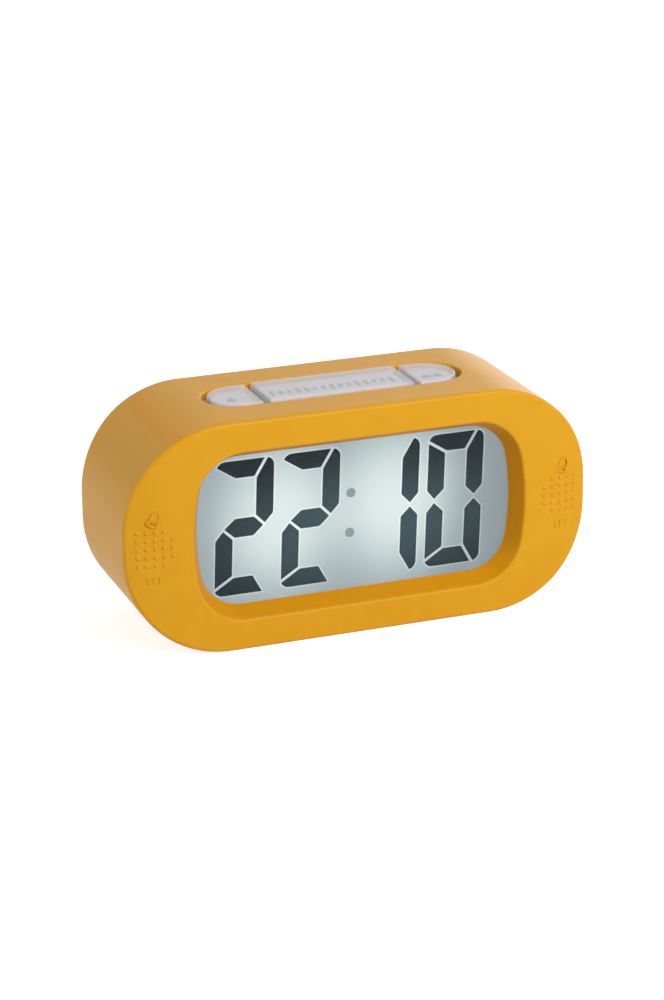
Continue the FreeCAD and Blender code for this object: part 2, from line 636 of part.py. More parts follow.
def sleeve_moulding():
    """The sleeve without its raised marks: skin, window funnel, key slot, rear opening."""
    body = pod("sleeve_moulding", sized(0), size.front_round, size.rear_round)
    cavity = pod("sleeve_cavity", size.sleeve_wall)
    combine(body, "sleeve_hollow", "Cut", cavity)

    rim = front_sketch(body, "rim_sketch", size.sleeve_wall / 2)
    window_outline(rim, size.window_flare + size.rim_wall)
    rim_end = size.window_depth - size.hair_gap
    pad(body, "rim_pad", rim, rim_end - size.sleeve_wall / 2)

    mouth = front_sketch(body, "window_mouth", sized(0))
    window_outline(mouth, size.window_flare)
    throat = front_sketch(body, "window_throat", rim_end)
    window_outline(throat, sized(0))
    funnel = body.newObject("PartDesign::SubtractiveLoft", "window_funnel")
    funnel.Profile = mouth
    funnel.Sections = [throat]
    funnel.Ruled = True
    doc.recompute()

    front = float(at_depth(sized(0)))
    reach = float(WINDOW_WIDTH) / 2 + float(size.window_flare) + 0.5
    fillet(body, "window_lip", size.lip_round,
           lambda edge: abs(middle(edge).y - front) < 0.01 and spans(edge, "y") < 0.01
           and abs(middle(edge).x) < reach
           and abs(middle(edge).z) < float(size.body_height) / 2 - float(size.sleeve_wall))

    slot = new_sketch(body, "slot_sketch", "XY_Plane", lift=size.body_height / 2)
    stadium(slot, SLOT_LENGTH, size.slot_width)
    pocket(body, "slot_pocket", slot, 1.5 * size.sleeve_wall, "down")
    top = float(size.body_height) / 2
    fillet(body, "slot_round", size.slot_round,
           lambda edge: abs(middle(edge).z - top) < 0.01 and spans(edge, "z") < 0.01
           and abs(middle(edge).y) < float(size.slot_width) / 2 + 0.1
           and abs(middle(edge).x) < float(SLOT_LENGTH) / 2 + 0.1)

    opening = front_sketch(body, "opening_sketch", size.body_depth)
    rounded_rectangle(opening, OPENING_WIDTH, OPENING_HEIGHT, size.opening_corner)
    pocket(body, "opening_pocket", opening, 1.5 * size.sleeve_wall, "front")
    rear = float(at_depth(size.body_depth))
    fillet(body, "opening_round", size.opening_round,
           lambda edge: abs(middle(edge).y - rear) < 0.01 and spans(edge, "y") < 0.01
           and abs(middle(edge).x) < float(OPENING_WIDTH) / 2 + 0.1
           and abs(middle(edge).z) < float(OPENING_HEIGHT) / 2 + 0.1)
    return body


def bell_ridges(side):
    """A small handbell drawn with raised ridges, leaning to the right."""
    tall, ridge = float(size.bell_tall), float(size.bell_ridge)
    crown, skirt = 0.30 * tall, 0.44 * tall
    shoulder = 0.5 * tall - crown
    dome = Part.Arc(FreeCAD.Vector(-crown, 0, shoulder), FreeCAD.Vector(0, 0, tall / 2),
                    FreeCAD.Vector(crown, 0, shoulder)).toShape()
    right = Part.Arc(FreeCAD.Vector(crown, 0, shoulder),
                     FreeCAD.Vector(0.78 * skirt, 0, -0.12 * tall),
                     FreeCAD.Vector(skirt, 0, -0.34 * tall)).toShape()
    hem = Part.Arc(FreeCAD.Vector(skirt, 0, -0.34 * tall), FreeCAD.Vector(0, 0, -0.52 * tall),
                   FreeCAD.Vector(-skirt, 0, -0.34 * tall)).toShape()
    left = Part.Arc(FreeCAD.Vector(-skirt, 0, -0.34 * tall),
                    FreeCAD.Vector(-0.78 * skirt, 0, -0.12 * tall),
                    FreeCAD.Vector(-crown, 0, shoulder)).toShape()
    outline = Part.Wire([dome, right, hem, left])
    outer = Part.Face(outline)
    inner = Part.Face(outline.makeOffset2D(-ridge))
    brim = Part.Arc(FreeCAD.Vector(skirt, 0, -0.34 * tall), FreeCAD.Vector(0, 0, -0.17 * tall),
                    FreeCAD.Vector(-skirt, 0, -0.34 * tall)).toShape()
    band = Part.Wire([brim]).makeOffset2D(ridge / 2, openResult=True, fill=True)
    flat = outer.cut(inner).fuse(band.common(outer))
    flat.rotate(FreeCAD.Vector(), FreeCAD.Vector(0, 1, 0), float(size.bell_lean))
    across = side * mark_across() + float(size.bell_shift)
    front = float(at_depth(face_drop(across)))
    flat.translate(FreeCAD.Vector(across, front - float(size.mark_rise), float(size.bell_up)))
    return flat.extrude(FreeCAD.Vector(0, float(size.mark_rise) + float(size.sleeve_wall) / 3, 0))


def mark_across():
    """How far the bell and the bars stand from the centre line."""
    return float(size.body_width) / 2 - float(size.mark_side)


def press_field_marks():
    """Raised dots, a bell and three plain bars on each end of the front."""
    pitch, radius = float(size.dot_pitch), float(size.dot_size) / 2
    rise = float(size.dot_rise)
    edge = float(size.body_width) / 2 - float(size.dot_side)
    shapes = []
    for side in (-1, 1):
        for column in range(5):
            rows = range(-2, 3) if column < 4 else range(-1, 2)
            across = side * (edge - column * pitch)
            front = float(at_depth(face_drop(across)))
            for level in rows:
                centre = FreeCAD.Vector(across, front + radius - rise, level * pitch)
                shapes.append(Part.makeSphere(radius, centre))
        shapes.append(bell_ridges(side))
        for step in (-1, 0, 1):
            across = side * mark_across() + step * float(size.bar_pitch)
            front = float(at_depth(face_drop(across)))
            corner = FreeCAD.Vector(across - float(size.bar_wide) / 2,
                                    front - float(size.mark_rise) / 2,
                                    -float(size.bar_down) - float(size.bar_tall) / 2)
            shapes.append(Part.makeBox(float(size.bar_wide), float(size.sleeve_wall) / 2,
                                       float(size.bar_tall), corner))
    marks = doc.addObject("Part::Feature", "press_field_marks")
    marks.Shape = Part.makeCompound(shapes)
    return marks


def make_sleeve():
    keep("silicone_sleeve", fuse("silicone_sleeve", [sleeve_moulding(), press_field_marks()]))


# ---------------------------------------------------------------- case halves

def round_pad(body, name, depth, length, diameter, across=0.0, up=0.0):
    """A boss that starts at a depth and runs to the back."""
    sketch = front_sketch(body, name + "_sketch", depth, across, up)
    circle(sketch, diameter)
    return pad(body, name, sketch, length)


def round_pocket(body, name, depth, length, diameter, across=0.0, up=0.0):
    """A hole that starts at a depth and runs to the back."""
    sketch = front_sketch(body, name + "_sketch", depth, across, up)
    circle(sketch, diameter)
    return pocket(body, name, sketch, length)


def key_opening(body, name, inner, outer, width, length):
    """A pair of mirrored end-key openings cut down from the top of the clock."""
    sketch = new_sketch(body, name + "_sketch", "XY_Plane", lift=size.body_height / 2)
    key_outline(sketch, inner, outer, width)
    first = pocket(body, name, sketch, length, "down")
    mirror = body.newObject("PartDesign::Mirrored", name + "_mirror")
    mirror.Originals = [first]
    plane = next(item for item in body.Origin.OriginFeatures if item.Role == "YZ_Plane")
    mirror.MirrorPlane = (plane, [""])
    body.Tip = mirror
    doc.recompute()


def make_front_case():
    """The deep front shell: window, lens seat, key openings, screw towers and posts."""
    body = pod("front_shell", SKIN, size.case_round, size.case_round)
    combine(body, "front_shell_hollow", "Cut", pod("front_shell_cavity", INSIDE))
    parting = front_sketch(body, "front_parting", PARTING)
    rectangle(parting, size.body_width, size.body_height)
    pocket(body, "front_parting_cut", parting, size.body_depth)

    seat_start = SKIN + size.case_wall / 2
    seat = front_sketch(body, "seat_sketch", seat_start)
    grow = 2 * (size.fit_gap + size.seat_wall)
    rounded_rectangle(seat, LENS_WIDTH + grow, LENS_HEIGHT + grow,
                      size.lens_corner + grow / 2)
    pad(body, "seat_pad", seat, SEAT_END - seat_start)
    window = front_sketch(body, "case_window", SKIN - size.fit_gap)
    window_outline(window, size.window_flare + size.rim_wall + size.fit_gap)
    shoulder = size.window_depth - size.tape_thickness
    pocket(body, "case_window_cut", window, shoulder - SKIN + size.fit_gap)
    lens_room = front_sketch(body, "lens_room", shoulder)
    rounded_rectangle(lens_room, LENS_WIDTH + 2 * size.fit_gap,
                      LENS_HEIGHT + 2 * size.fit_gap, size.lens_corner + size.fit_gap)
    pocket(body, "lens_room_cut", lens_room, SEAT_END)

    grow = size.move_gap
    centre = new_sketch(body, "snooze_opening", "XY_Plane", lift=size.body_height / 2)
    rectangle(centre, 2 * (SNOOZE_HALF + grow), KEY_WIDTH + 2 * grow)
    through = SKIN + 2 * size.case_wall
    pocket(body, "snooze_opening_cut", centre, through, "down")
    key_opening(body, "end_openings", KEY_INNER - grow, KEY_OUTER + grow,
                KEY_WIDTH + 2 * grow, through)

    post_start = KEY_BOARD_UP + size.hair_gap
    post_end = size.body_height / 2 - SKIN - 0.75 * size.case_wall
    for side in (-1, 1):
        word = "left" if side < 0 else "right"
        round_pocket(body, f"{word}_pad_hole", sized(0), SKIN + 2 * size.case_wall,
                     size.pad_size + 2 * size.move_gap, side * PAD_ACROSS)
        post = new_sketch(body, f"{word}_post_sketch", "XY_Plane", side * KEY_POST_ACROSS,
                          KEY_BOARD_Y, post_start)
        circle(post, size.key_post_size)
        pad(body, f"{word}_post", post, post_end - post_start, "up")
        pilot = new_sketch(body, f"{word}_post_pilot", "XY_Plane", side * KEY_POST_ACROSS,
                           KEY_BOARD_Y, post_start)
        circle(pilot, size.board_screw_size + 2 * size.hair_gap)
        pocket(body, f"{word}_post_hole", pilot, size.key_post_size, "up")
    for number, (across, up) in enumerate(TOWERS, 1):
        start = SKIN + size.case_wall / 2
        round_pad(body, f"tower_{number}", start, BOARD_DEPTH - size.hair_gap - start,
                  size.tower_size, across, up)
        round_pocket(body, f"tower_{number}_pilot", BOARD_DEPTH - size.screw_reach,
                     size.screw_reach, size.case_screw_size + 2 * size.hair_gap, across, up)
    keep("front_case", body)


def make_rear_case():
    """The shallow rear shell: tongue, battery bay, door seat, screw bosses, sound holes."""
    body = pod("rear_shell", SKIN, size.case_round, size.case_round)
    combine(body, "rear_shell_hollow", "Cut", pod("rear_shell_cavity", INSIDE))
    parting = front_sketch(body, "rear_parting", sized(0))
    rectangle(parting, size.body_width, size.body_height)
    pocket(body, "rear_parting_cut", parting, PARTING + size.hair_gap)

    def pod_outline(name, depth, inset):
        sketch = front_sketch(body, name, depth)
        rounded_rectangle(sketch, size.body_width - 2 * inset, size.body_height - 2 * inset,
                          CORNER - inset)
        return sketch

    root = pod_outline("tongue_root", PARTING + size.hair_gap, INSIDE - size.fit_gap)
    pad(body, "tongue_root_pad", root, size.tongue_length)
    tongue = pod_outline("tongue_sketch", PARTING - size.tongue_length,
                         INSIDE + size.fit_gap)
    pad(body, "tongue_pad", tongue, 2 * size.tongue_length)
    hollow = pod_outline("tongue_hollow", PARTING - size.tongue_length,
                         INSIDE + size.fit_gap + size.tongue_wall)
    pocket(body, "tongue_hollow_cut", hollow, 2 * size.tongue_length + size.fit_gap)

    bay = front_sketch(body, "bay_sketch", BAY_FLOOR - size.bay_wall)
    rectangle(bay, 2 * (BAY_HALF + size.bay_wall), 2 * (size.bay_half_height + size.bay_wall))
    pad(body, "bay_pad", bay, REAR_FACE - size.case_wall / 2 - BAY_FLOOR + size.bay_wall)
    collar = front_sketch(body, "collar_sketch", REAR_INSIDE - size.collar_depth)
    door_outline(collar, size.move_gap + size.bay_wall)
    pad(body, "collar_pad", collar, size.collar_depth + size.case_wall / 2)
    round_pad(body, "lug_boss", REAR_INSIDE - size.lug_boss_depth,
              size.lug_boss_depth + size.case_wall / 2, size.lug_size, -LUG_ACROSS)
    for number, (across, up) in enumerate(TOWERS, 1):
        start = BOARD_BACK + size.hair_gap
        round_pad(body, f"rear_boss_{number}", start, REAR_INSIDE + size.case_wall / 2 - start,
                  size.tower_size, across, up)
    ring_start = REAR_INSIDE - size.sounder_ring_height
    round_pad(body, "sounder_ring", ring_start, size.sounder_ring_height + size.case_wall / 2,
              SOUNDER_ROOM + 2 * size.tongue_wall, SOUNDER_ACROSS)
    round_pocket(body, "sounder_room", ring_start, size.sounder_ring_height, SOUNDER_ROOM,
                 SOUNDER_ACROSS)

    room = front_sketch(body, "bay_room", BAY_FLOOR)
    rectangle(room, 2 * BAY_HALF, 2 * size.bay_half_height)
    pocket(body, "bay_room_cut", room, size.body_depth)
    ledge = DOOR_INSIDE - size.move_gap
    rebate = front_sketch(body, "door_rebate", ledge)
    door_outline(rebate, size.move_gap)
    pocket(body, "door_rebate_cut", rebate, size.body_depth)
    neck = front_sketch(body, "neck_rebate", ledge, -LUG_ACROSS / 2)
    rectangle(neck, LUG_ACROSS, size.lug_size + 2 * size.move_gap)
    pocket(body, "neck_rebate_cut", neck, size.body_depth)
    round_pocket(body, "lug_rebate", ledge, size.body_depth,
                 size.lug_size + 2 * size.move_gap, -LUG_ACROSS)
    screw_tip = SCREW_SEAT - size.door_screw_length
    round_pocket(body, "lug_pilot", screw_tip - size.move_gap, size.body_depth,
                 size.door_screw_size + 2 * size.hair_gap, -LUG_ACROSS)

    for number, (across, up) in enumerate(TOWERS, 1):
        round_pocket(body, f"boss_hole_{number}", BOARD_DEPTH, size.body_depth,
                     size.case_screw_size + 2 * size.fit_gap, across, up)
        round_pocket(body, f"boss_well_{number}", CASE_SCREW_SEAT, size.body_depth,
                     size.case_screw_head + 2 * size.fit_gap, across, up)
    round_pocket(body, "sound_hole_0", REAR_INSIDE - size.fit_gap, size.body_depth,
                 size.sound_hole, SOUNDER_ACROSS)
    for number in range(1, 7):
        angle = math.radians(60 * number)
        round_pocket(body, f"sound_hole_{number}", REAR_INSIDE - size.fit_gap,
                     size.body_depth, size.sound_hole,
                     SOUNDER_ACROSS + size.sound_ring * math.cos(angle),
                     size.sound_ring * math.sin(angle))
    for side in (-1, 1):
        word = "left" if side < 0 else "right"
        slit = front_sketch(body, f"{word}_tab_slit", BAY_FLOOR - 2 * size.bay_wall,
                            side * (BAY_HALF - size.plate_thickness), side * size.cell_pitch)
        rectangle(slit, 2 * size.plate_thickness, size.tab_width + 2 * size.move_gap)
        pocket(body, f"{word}_tab_slit_cut", slit, 3 * size.bay_wall)
    keep("rear_case", body)


def door_outline(sketch, grow):
    """The battery door's plate, larger by "grow" all round."""
    rounded_rectangle(sketch, 2 * (DOOR_HALF + grow), 2 * (DOOR_HALF_HEIGHT + grow),
                      size.door_corner + grow)


def make_case_screws():
    """Four long self-tapping screws that clamp the board between the case halves."""
    screws = []
    for number, (across, up) in enumerate(TOWERS, 1):
        seat = at_depth(CASE_SCREW_SEAT)
        tip = BOARD_DEPTH - size.screw_reach + size.fit_gap
        head = rod(f"case_screw_head_{number}", size.case_screw_head, size.case_wall, across,
                   seat, up)
        shank = rod(f"case_screw_shank_{number}", size.case_screw_size,
                    CASE_SCREW_SEAT - tip, across, at_depth(tip), up)
        slot = box(f"case_screw_slot_{number}", size.case_screw_head / 4, size.case_wall,
                   0.8 * size.case_screw_head, across, seat + size.case_wall, up)
        cross = box(f"case_screw_cross_{number}", 0.8 * size.case_screw_head, size.case_wall,
                    size.case_screw_head / 4, across, seat + size.case_wall, up)
        screws.append(cut_all(f"case_screw_{number}",
                              fuse(f"case_screw_blank_{number}", [head, shank]),
                              [slot, cross]))
    keep("case_screws", fuse("case_screws", screws))


# ---------------------------------------------------------------- display stack

def front_plate(name, outline, depth, thickness, up=0.0):
    """A flat plate parallel to the front, from an outline drawn by a function."""
    body = new_body(name)
    sketch = front_sketch(body, name + "_sketch", depth, 0.0, up)
    outline(sketch)
    pad(body, name + "_pad", sketch, thickness)
    return body


def make_lens():
    keep("display_lens", front_plate(
        "display_lens", lambda sketch: rounded_rectangle(
            sketch, LENS_WIDTH, LENS_HEIGHT, size.lens_corner),
        size.window_depth, size.lens_thickness))


def make_lens_tape():
    """The adhesive frame that holds the lens on its shoulder."""
    depth = size.window_depth - size.tape_thickness
    body = front_plate("lens_tape", lambda sketch: rounded_rectangle(
        sketch, LENS_WIDTH - 2 * size.fit_gap, LENS_HEIGHT - 2 * size.fit_gap,
        size.lens_corner), depth, size.tape_thickness)
    window = front_sketch(body, "tape_window", depth)
    window_outline(window, size.window_flare + size.rim_wall + 2 * size.fit_gap)
    pocket(body, "tape_window_cut", window, size.tape_thickness)
    keep("lens_tape", body)


def make_glasses():
    """Two glass plates; the front one is taller, with the contacts on its lower ledge."""
    keep("lcd_front_glass", front_plate(
        "lcd_front_glass", lambda sketch: rounded_rectangle(
            sketch, GLASS_WIDTH, GLASS_HEIGHT, size.glass_corner),
        size.window_depth + size.glass_setback, size.glass_thickness))
    keep("lcd_rear_glass", front_plate(
        "lcd_rear_glass", lambda sketch: rounded_rectangle(
            sketch, GLASS_WIDTH, GLASS_HEIGHT - size.glass_ledge, size.glass_corner),
        REAR_GLASS_DEPTH, size.glass_thickness, size.glass_ledge / 2))


SEGMENTS_OF = {"0": "abcdef", "1": "bc", "2": "abged"}


def segment_outlines():
    """Each segment's corners as (across, up) from the digit's left edge and middle.

    Neighbours share the line in the middle of their gap, so each outline is later
    drawn in by half the gap. The last item lists the corner that is rounded.
    """
    half_gap = float(size.segment_gap) / 2
    width, half = float(size.digit_width), float(size.digit_height) / 2
    stroke = float(size.stroke)
    left, right, top = -half_gap, width + half_gap, half + half_gap
    in_left, in_right = stroke + half_gap, width - stroke - half_gap
    in_top = half - stroke - half_gap
    waist = float(size.middle_stroke) / 2 + half_gap
    shallow, steep = half - float(size.shallow_start), width - float(size.steep_start)
    mid_left, mid_right = float(size.left_tip), width - float(size.right_tip)
    g_left, g_right = float(size.middle_left_tip), width - float(size.middle_right_tip)
    a = [(left, shallow), (left, top), (steep, top), (in_right, in_top), (in_left, in_top)]
    b = [(steep, top), (right, top), (right, waist), (mid_right, 0), (in_right, waist),
         (in_right, in_top)]
    c = [(mid_right, 0), (right, -waist), (right, -top), (steep, -top), (in_right, -in_top),
         (in_right, -waist)]
    d = [(left, -shallow), (in_left, -in_top), (in_right, -in_top), (steep, -top),
         (left, -top)]
    e = [(mid_left, 0), (in_left, -waist), (in_left, -in_top), (left, -shallow),
         (left, -waist)]
    f = [(mid_left, 0), (left, waist), (left, shallow), (in_left, in_top), (in_left, waist)]
    g = [(g_left, 0), (in_left, waist), (in_right, waist), (g_right, 0),
         (in_right, -waist), (in_left, -waist)]
    return {"a": (a, 1), "b": (b, 1), "c": (c, 2), "d": (d, 4), "e": (e, None),
            "f": (f, None), "g": (g, None)}


def corner_wire(points, rounded, reach):
    """A closed outline through the points, with an arc in place of one of its corners.

    The arc starts at the corner's nearer neighbour and runs out along its longer side,
    which it meets smoothly at this distance from the corner.
    """
    if rounded is None:
        return Part.makePolygon(points + points[:1])
    corner = points[rounded]
    others = points[rounded + 1:] + points[:rounded]
    if (others[0] - corner).Length < (others[-1] - corner).Length:
        others.reverse()
    along = (others[0] - corner).normalize()
    start, end = others[-1], corner + along * reach
    inward = start - corner
    inward = (inward - along * inward.dot(along)).normalize()
    chord = start - end
    bend = chord.Length ** 2 / (2 * chord.dot(inward))
    centre = end + inward * bend
    crown = centre + ((start + end) / 2 - centre).normalize() * bend
    edges = [Part.Arc(start, crown, end).toShape()]
    stops = [end] + others
    edges += [Part.makeLine(near, far) for near, far in zip(stops, stops[1:])]
    return Part.Wire(edges)


def make_segments():
    """The dark segments that read 22:10, and the colon, as thin layers of ink."""
    slant = math.tan(math.radians(float(size.digit_slant)))
    half_gap = float(size.segment_gap) / 2
    reach = float(size.digit_round) + half_gap
    plane = float(at_depth(INK_DEPTH))
    through = FreeCAD.Vector(0, float(size.ink_thickness), 0)
    outlines = segment_outlines()
    lefts = [-float(size.first_digit), -float(size.first_digit) + float(size.digit_pitch),
             -float(size.first_digit) + float(size.pair_pitch),
             -float(size.first_digit) + float(size.pair_pitch) + float(size.digit_pitch)]
    solids = []
    for figure, left in zip("2210", lefts):
        for segment in SEGMENTS_OF[figure]:
            corners, rounded = outlines[segment]
            points = [FreeCAD.Vector(left + across + slant * up, plane, up)
                      for across, up in corners]
            outline = corner_wire(points, rounded, reach).makeOffset2D(-half_gap)
            solids.append(Part.Face(outline).extrude(through))
    ink = doc.addObject("Part::Feature", "lcd_segments")
    ink.Shape = Part.makeCompound(solids)
    keep("lcd_segments", ink)
    dots = []
    for name, level in (("colon_top", 1), ("colon_bottom", -1)):
        across = size.colon_across + level * size.colon_up * slant
        dots.append(rod(name, size.colon_size, size.ink_thickness, across,
                        at_depth(INK_DEPTH), level * size.colon_up))
    keep("lcd_colon", fuse("lcd_colon", dots))


def make_holder():
    """The white frame that carries glass and diffuser and forms the light box."""
    end = BOARD_DEPTH - size.hair_gap
    body = front_plate("lcd_holder", lambda sketch: rounded_rectangle(
        sketch, HOLDER_WIDTH, HOLDER_HEIGHT, size.lens_corner - size.fit_gap),
        HOLDER_DEPTH, end - HOLDER_DEPTH)
    glass_room = front_sketch(body, "glass_room", HOLDER_DEPTH)
    rounded_rectangle(glass_room, GLASS_WIDTH + 2 * size.fit_gap,
                      GLASS_HEIGHT + 2 * size.fit_gap, size.glass_corner + size.fit_gap)
    pocket(body, "glass_room_cut", glass_room, GLASS_BACK + size.hair_gap - HOLDER_DEPTH)
    shelf = front_sketch(body, "diffuser_room", HOLDER_DEPTH)
    rounded_rectangle(shelf, DIFFUSER_WIDTH + 2 * size.fit_gap,
                      DIFFUSER_HEIGHT + 2 * size.fit_gap, size.glass_corner + size.fit_gap)
    pocket(body, "diffuser_room_cut", shelf,
           DIFFUSER_DEPTH + size.diffuser_thickness + size.hair_gap - HOLDER_DEPTH)
    light = front_sketch(body, "light_room", HOLDER_DEPTH)
    rounded_rectangle(light, BOX_WIDTH, BOX_HEIGHT, size.box_corner)
    pocket(body, "light_room_cut", light, size.body_depth)
    zebra = front_sketch(body, "zebra_room", HOLDER_DEPTH, 0.0, ZEBRA_UP)
    rectangle(zebra, ZEBRA_LENGTH + 2 * size.move_gap,
              size.zebra_thickness + 2 * size.fit_gap)
    pocket(body, "zebra_room_cut", zebra, size.body_depth)
    for number, (across, up) in enumerate(HOLDER_POSTS, 1):
        round_pocket(body, f"holder_pilot_{number}", BOARD_DEPTH - 2 * size.board_screw_size,
                     size.body_depth, size.board_screw_size + 2 * size.hair_gap, across, up)
    keep("lcd_holder", body)


def make_light_parts():
    keep("diffuser_plate", front_plate("diffuser_plate", lambda sketch: rounded_rectangle(
        sketch, DIFFUSER_WIDTH, DIFFUSER_HEIGHT, size.glass_corner),
        DIFFUSER_DEPTH, size.diffuser_thickness))
    start, end = INK_DEPTH + size.hair_gap, BOARD_DEPTH - size.hair_gap
    strip = box("zebra_block", ZEBRA_LENGTH, end - start, size.zebra_thickness, 0.0,
                at_depth((start + end) / 2), ZEBRA_UP)
    keep("zebra_strip", fuse_one("zebra_strip", strip))
    lamps = []
    for word, across in (("left", -size.led_left), ("right", size.led_right)):
        back = at_depth(BOARD_DEPTH - size.led_height / 2)
        base = box(f"{word}_led_base", size.led_size, size.led_height, 0.8 * size.led_size,
                   across, back, size.led_up)
        dome = doc.addObject("Part::Sphere", f"{word}_led_dome")
        bind(dome, "Radius", size.led_size / 3)
        place(dome, across, at_depth(BOARD_DEPTH - size.led_height), size.led_up)
        lamps.append(fuse(f"{word}_led", [base, dome]))
    keep("backlight_leds", fuse("backlight_leds", lamps))


def fuse_one(name, part):
    """Wraps a single primitive so that it can carry its own place and label."""
    wrapper = doc.addObject("Part::Refine", name)
    wrapper.Source = part
    return wrapper


# ---------------------------------------------------------------- main board

def make_main_board():
    """The round-ended board, clamped between the case towers."""
    body = front_plate("main_pcb", lambda sketch: rounded_rectangle(
        sketch, BOARD_WIDTH, BOARD_HEIGHT, (BOARD_HEIGHT - size.board_flat) / 2),
        BOARD_DEPTH, size.board_thickness)
    holes = [(where, size.case_screw_size) for where in TOWERS]
    holes += [(where, size.board_screw_size) for where in HOLDER_POSTS]
    for number, ((across, up), screw) in enumerate(holes, 1):
        round_pocket(body, f"board_hole_{number}", BOARD_DEPTH, size.board_thickness,
                     screw + 2 * size.fit_gap, across, up)
    keep("main_pcb", body)


def make_board_screws():
    """Four small screws from the rear of the board into the display holder."""
    parts = []
    for number, (across, up) in enumerate(HOLDER_POSTS, 1):
        head = rod(f"board_screw_head_{number}", size.board_screw_head,
                   size.board_screw_head_height, across, at_depth(BOARD_BACK), up)
        tip = BOARD_DEPTH - size.board_screw_reach
        shank = rod(f"board_screw_shank_{number}", size.board_screw_size, BOARD_BACK - tip,
                    across, at_depth(tip), up)
        parts.append(fuse(f"board_screw_{number}", [head, shank]))
    keep("pcb_screws", fuse("pcb_screws", parts))


def make_board_parts():
    """The controller under its resin, the crystal, a capacitor and chip components."""
    rear = at_depth(BOARD_BACK)
    keep("controller_chip", fuse_one("controller_chip", rod(
        "resin_blob", size.chip_size, size.chip_height, size.chip_across, rear,
        size.chip_up)))
    keep("clock_crystal", fuse_one("clock_crystal", rod(
        "crystal_can", size.crystal_size, size.crystal_length, size.crystal_across,
        rear + size.crystal_size / 2, size.crystal_up, "x")))
    keep("electrolytic_capacitor", fuse_one("electrolytic_capacitor", rod(
        "capacitor_can", size.capacitor_size, size.capacitor_length,
        size.capacitor_across, rear, size.capacitor_up)))
    chips = []
    for column in range(4):
        for row in range(2):
            chips.append(box(f"smd_{column}_{row}", size.smd_length, size.smd_height,
                             size.smd_width, size.smd_across + column * size.smd_pitch,
                             rear + size.smd_height / 2, size.smd_up - row * size.smd_pitch))
    keep("smd_parts", fuse("smd_parts", chips))


# ---------------------------------------------------------------- keys and switches

def snooze_outline(sketch, grow):
    """The middle key's outline, larger by "grow" all round."""
    rectangle(sketch, 2 * (SNOOZE_HALF + grow), KEY_WIDTH + 2 * grow)


def end_outline(sketch, grow):
    """The right end key's outline, larger by "grow" all round."""
    key_outline(sketch, KEY_INNER - grow, KEY_OUTER + grow, KEY_WIDTH + 2 * grow)


def key_layer(body, name, outline, grow, top, thickness, feature=pad):
    """Adds or cuts one horizontal layer of a key, from its top down."""
    sketch = new_sketch(body, name + "_sketch", "XY_Plane", lift=top)
    outline(sketch, grow)
    return feature(body, name, sketch, thickness, "down")


def make_key(word, outline, proud, middle_x, turn):
    """A clear cap over a white hollow carrier whose stem presses a switch."""
    top = size.body_height / 2 + proud
    cap = new_body(f"{word}_cap")
    key_layer(cap, "cap_block", outline, sized(0), top, size.cap_height)
    crown = float(top)
    fillet(cap, "cap_edge", size.cap_round, lambda edge: abs(middle(edge).z - crown) < 0.01
           and spans(edge, "z") < 0.01)
    key_layer(cap, "cap_hollow", outline, -size.cap_wall, top - size.cap_plate,
              size.cap_height, pocket)
    keep(f"{word}_cap", cap, axis=(0, 0, 1), turn=turn)

    carrier = new_body(f"{word}_carrier")
    inset = size.cap_wall + size.fit_gap
    ceiling = top - size.cap_plate - size.fit_gap
    key_layer(carrier, "carrier_block", outline, -inset, ceiling,
              ceiling - FLANGE_TOP + size.flange_thickness)
    key_layer(carrier, "carrier_flange", outline, KEY_FLANGE, FLANGE_TOP,
              size.flange_thickness)
    key_layer(carrier, "carrier_hollow", outline, -(inset + size.key_wall),
              ceiling - size.key_wall, size.body_height / 2, pocket)
    stem = new_sketch(carrier, "stem_sketch", "XY_Plane", middle_x,
                      lift=ceiling - size.key_wall / 2)
    circle(stem, size.stem_size)
    pad(carrier, "stem", stem, ceiling - size.key_wall / 2 - PLUNGER_TOP - size.hair_gap,
        "down")
    keep(f"{word}_carrier", carrier, axis=(0, 0, 1), turn=turn)

    keep(f"{word}_plunger", fuse_one(f"{word}_plunger", rod(
        f"{word}_plunger_rod", size.plunger_size, size.plunger_proud + size.plunger_hidden,
        middle_x, 0.0, SWITCH_TOP - size.plunger_hidden, "z")), axis=(0, 0, 1), turn=turn)


def make_top_keys():
    make_key("snooze", snooze_outline, size.snooze_proud, sized(0), 0.0)
    make_key("minute", end_outline, size.side_proud, KEY_MIDDLE, 0.0)
    make_key("hour", end_outline, size.side_proud, KEY_MIDDLE, 180.0)


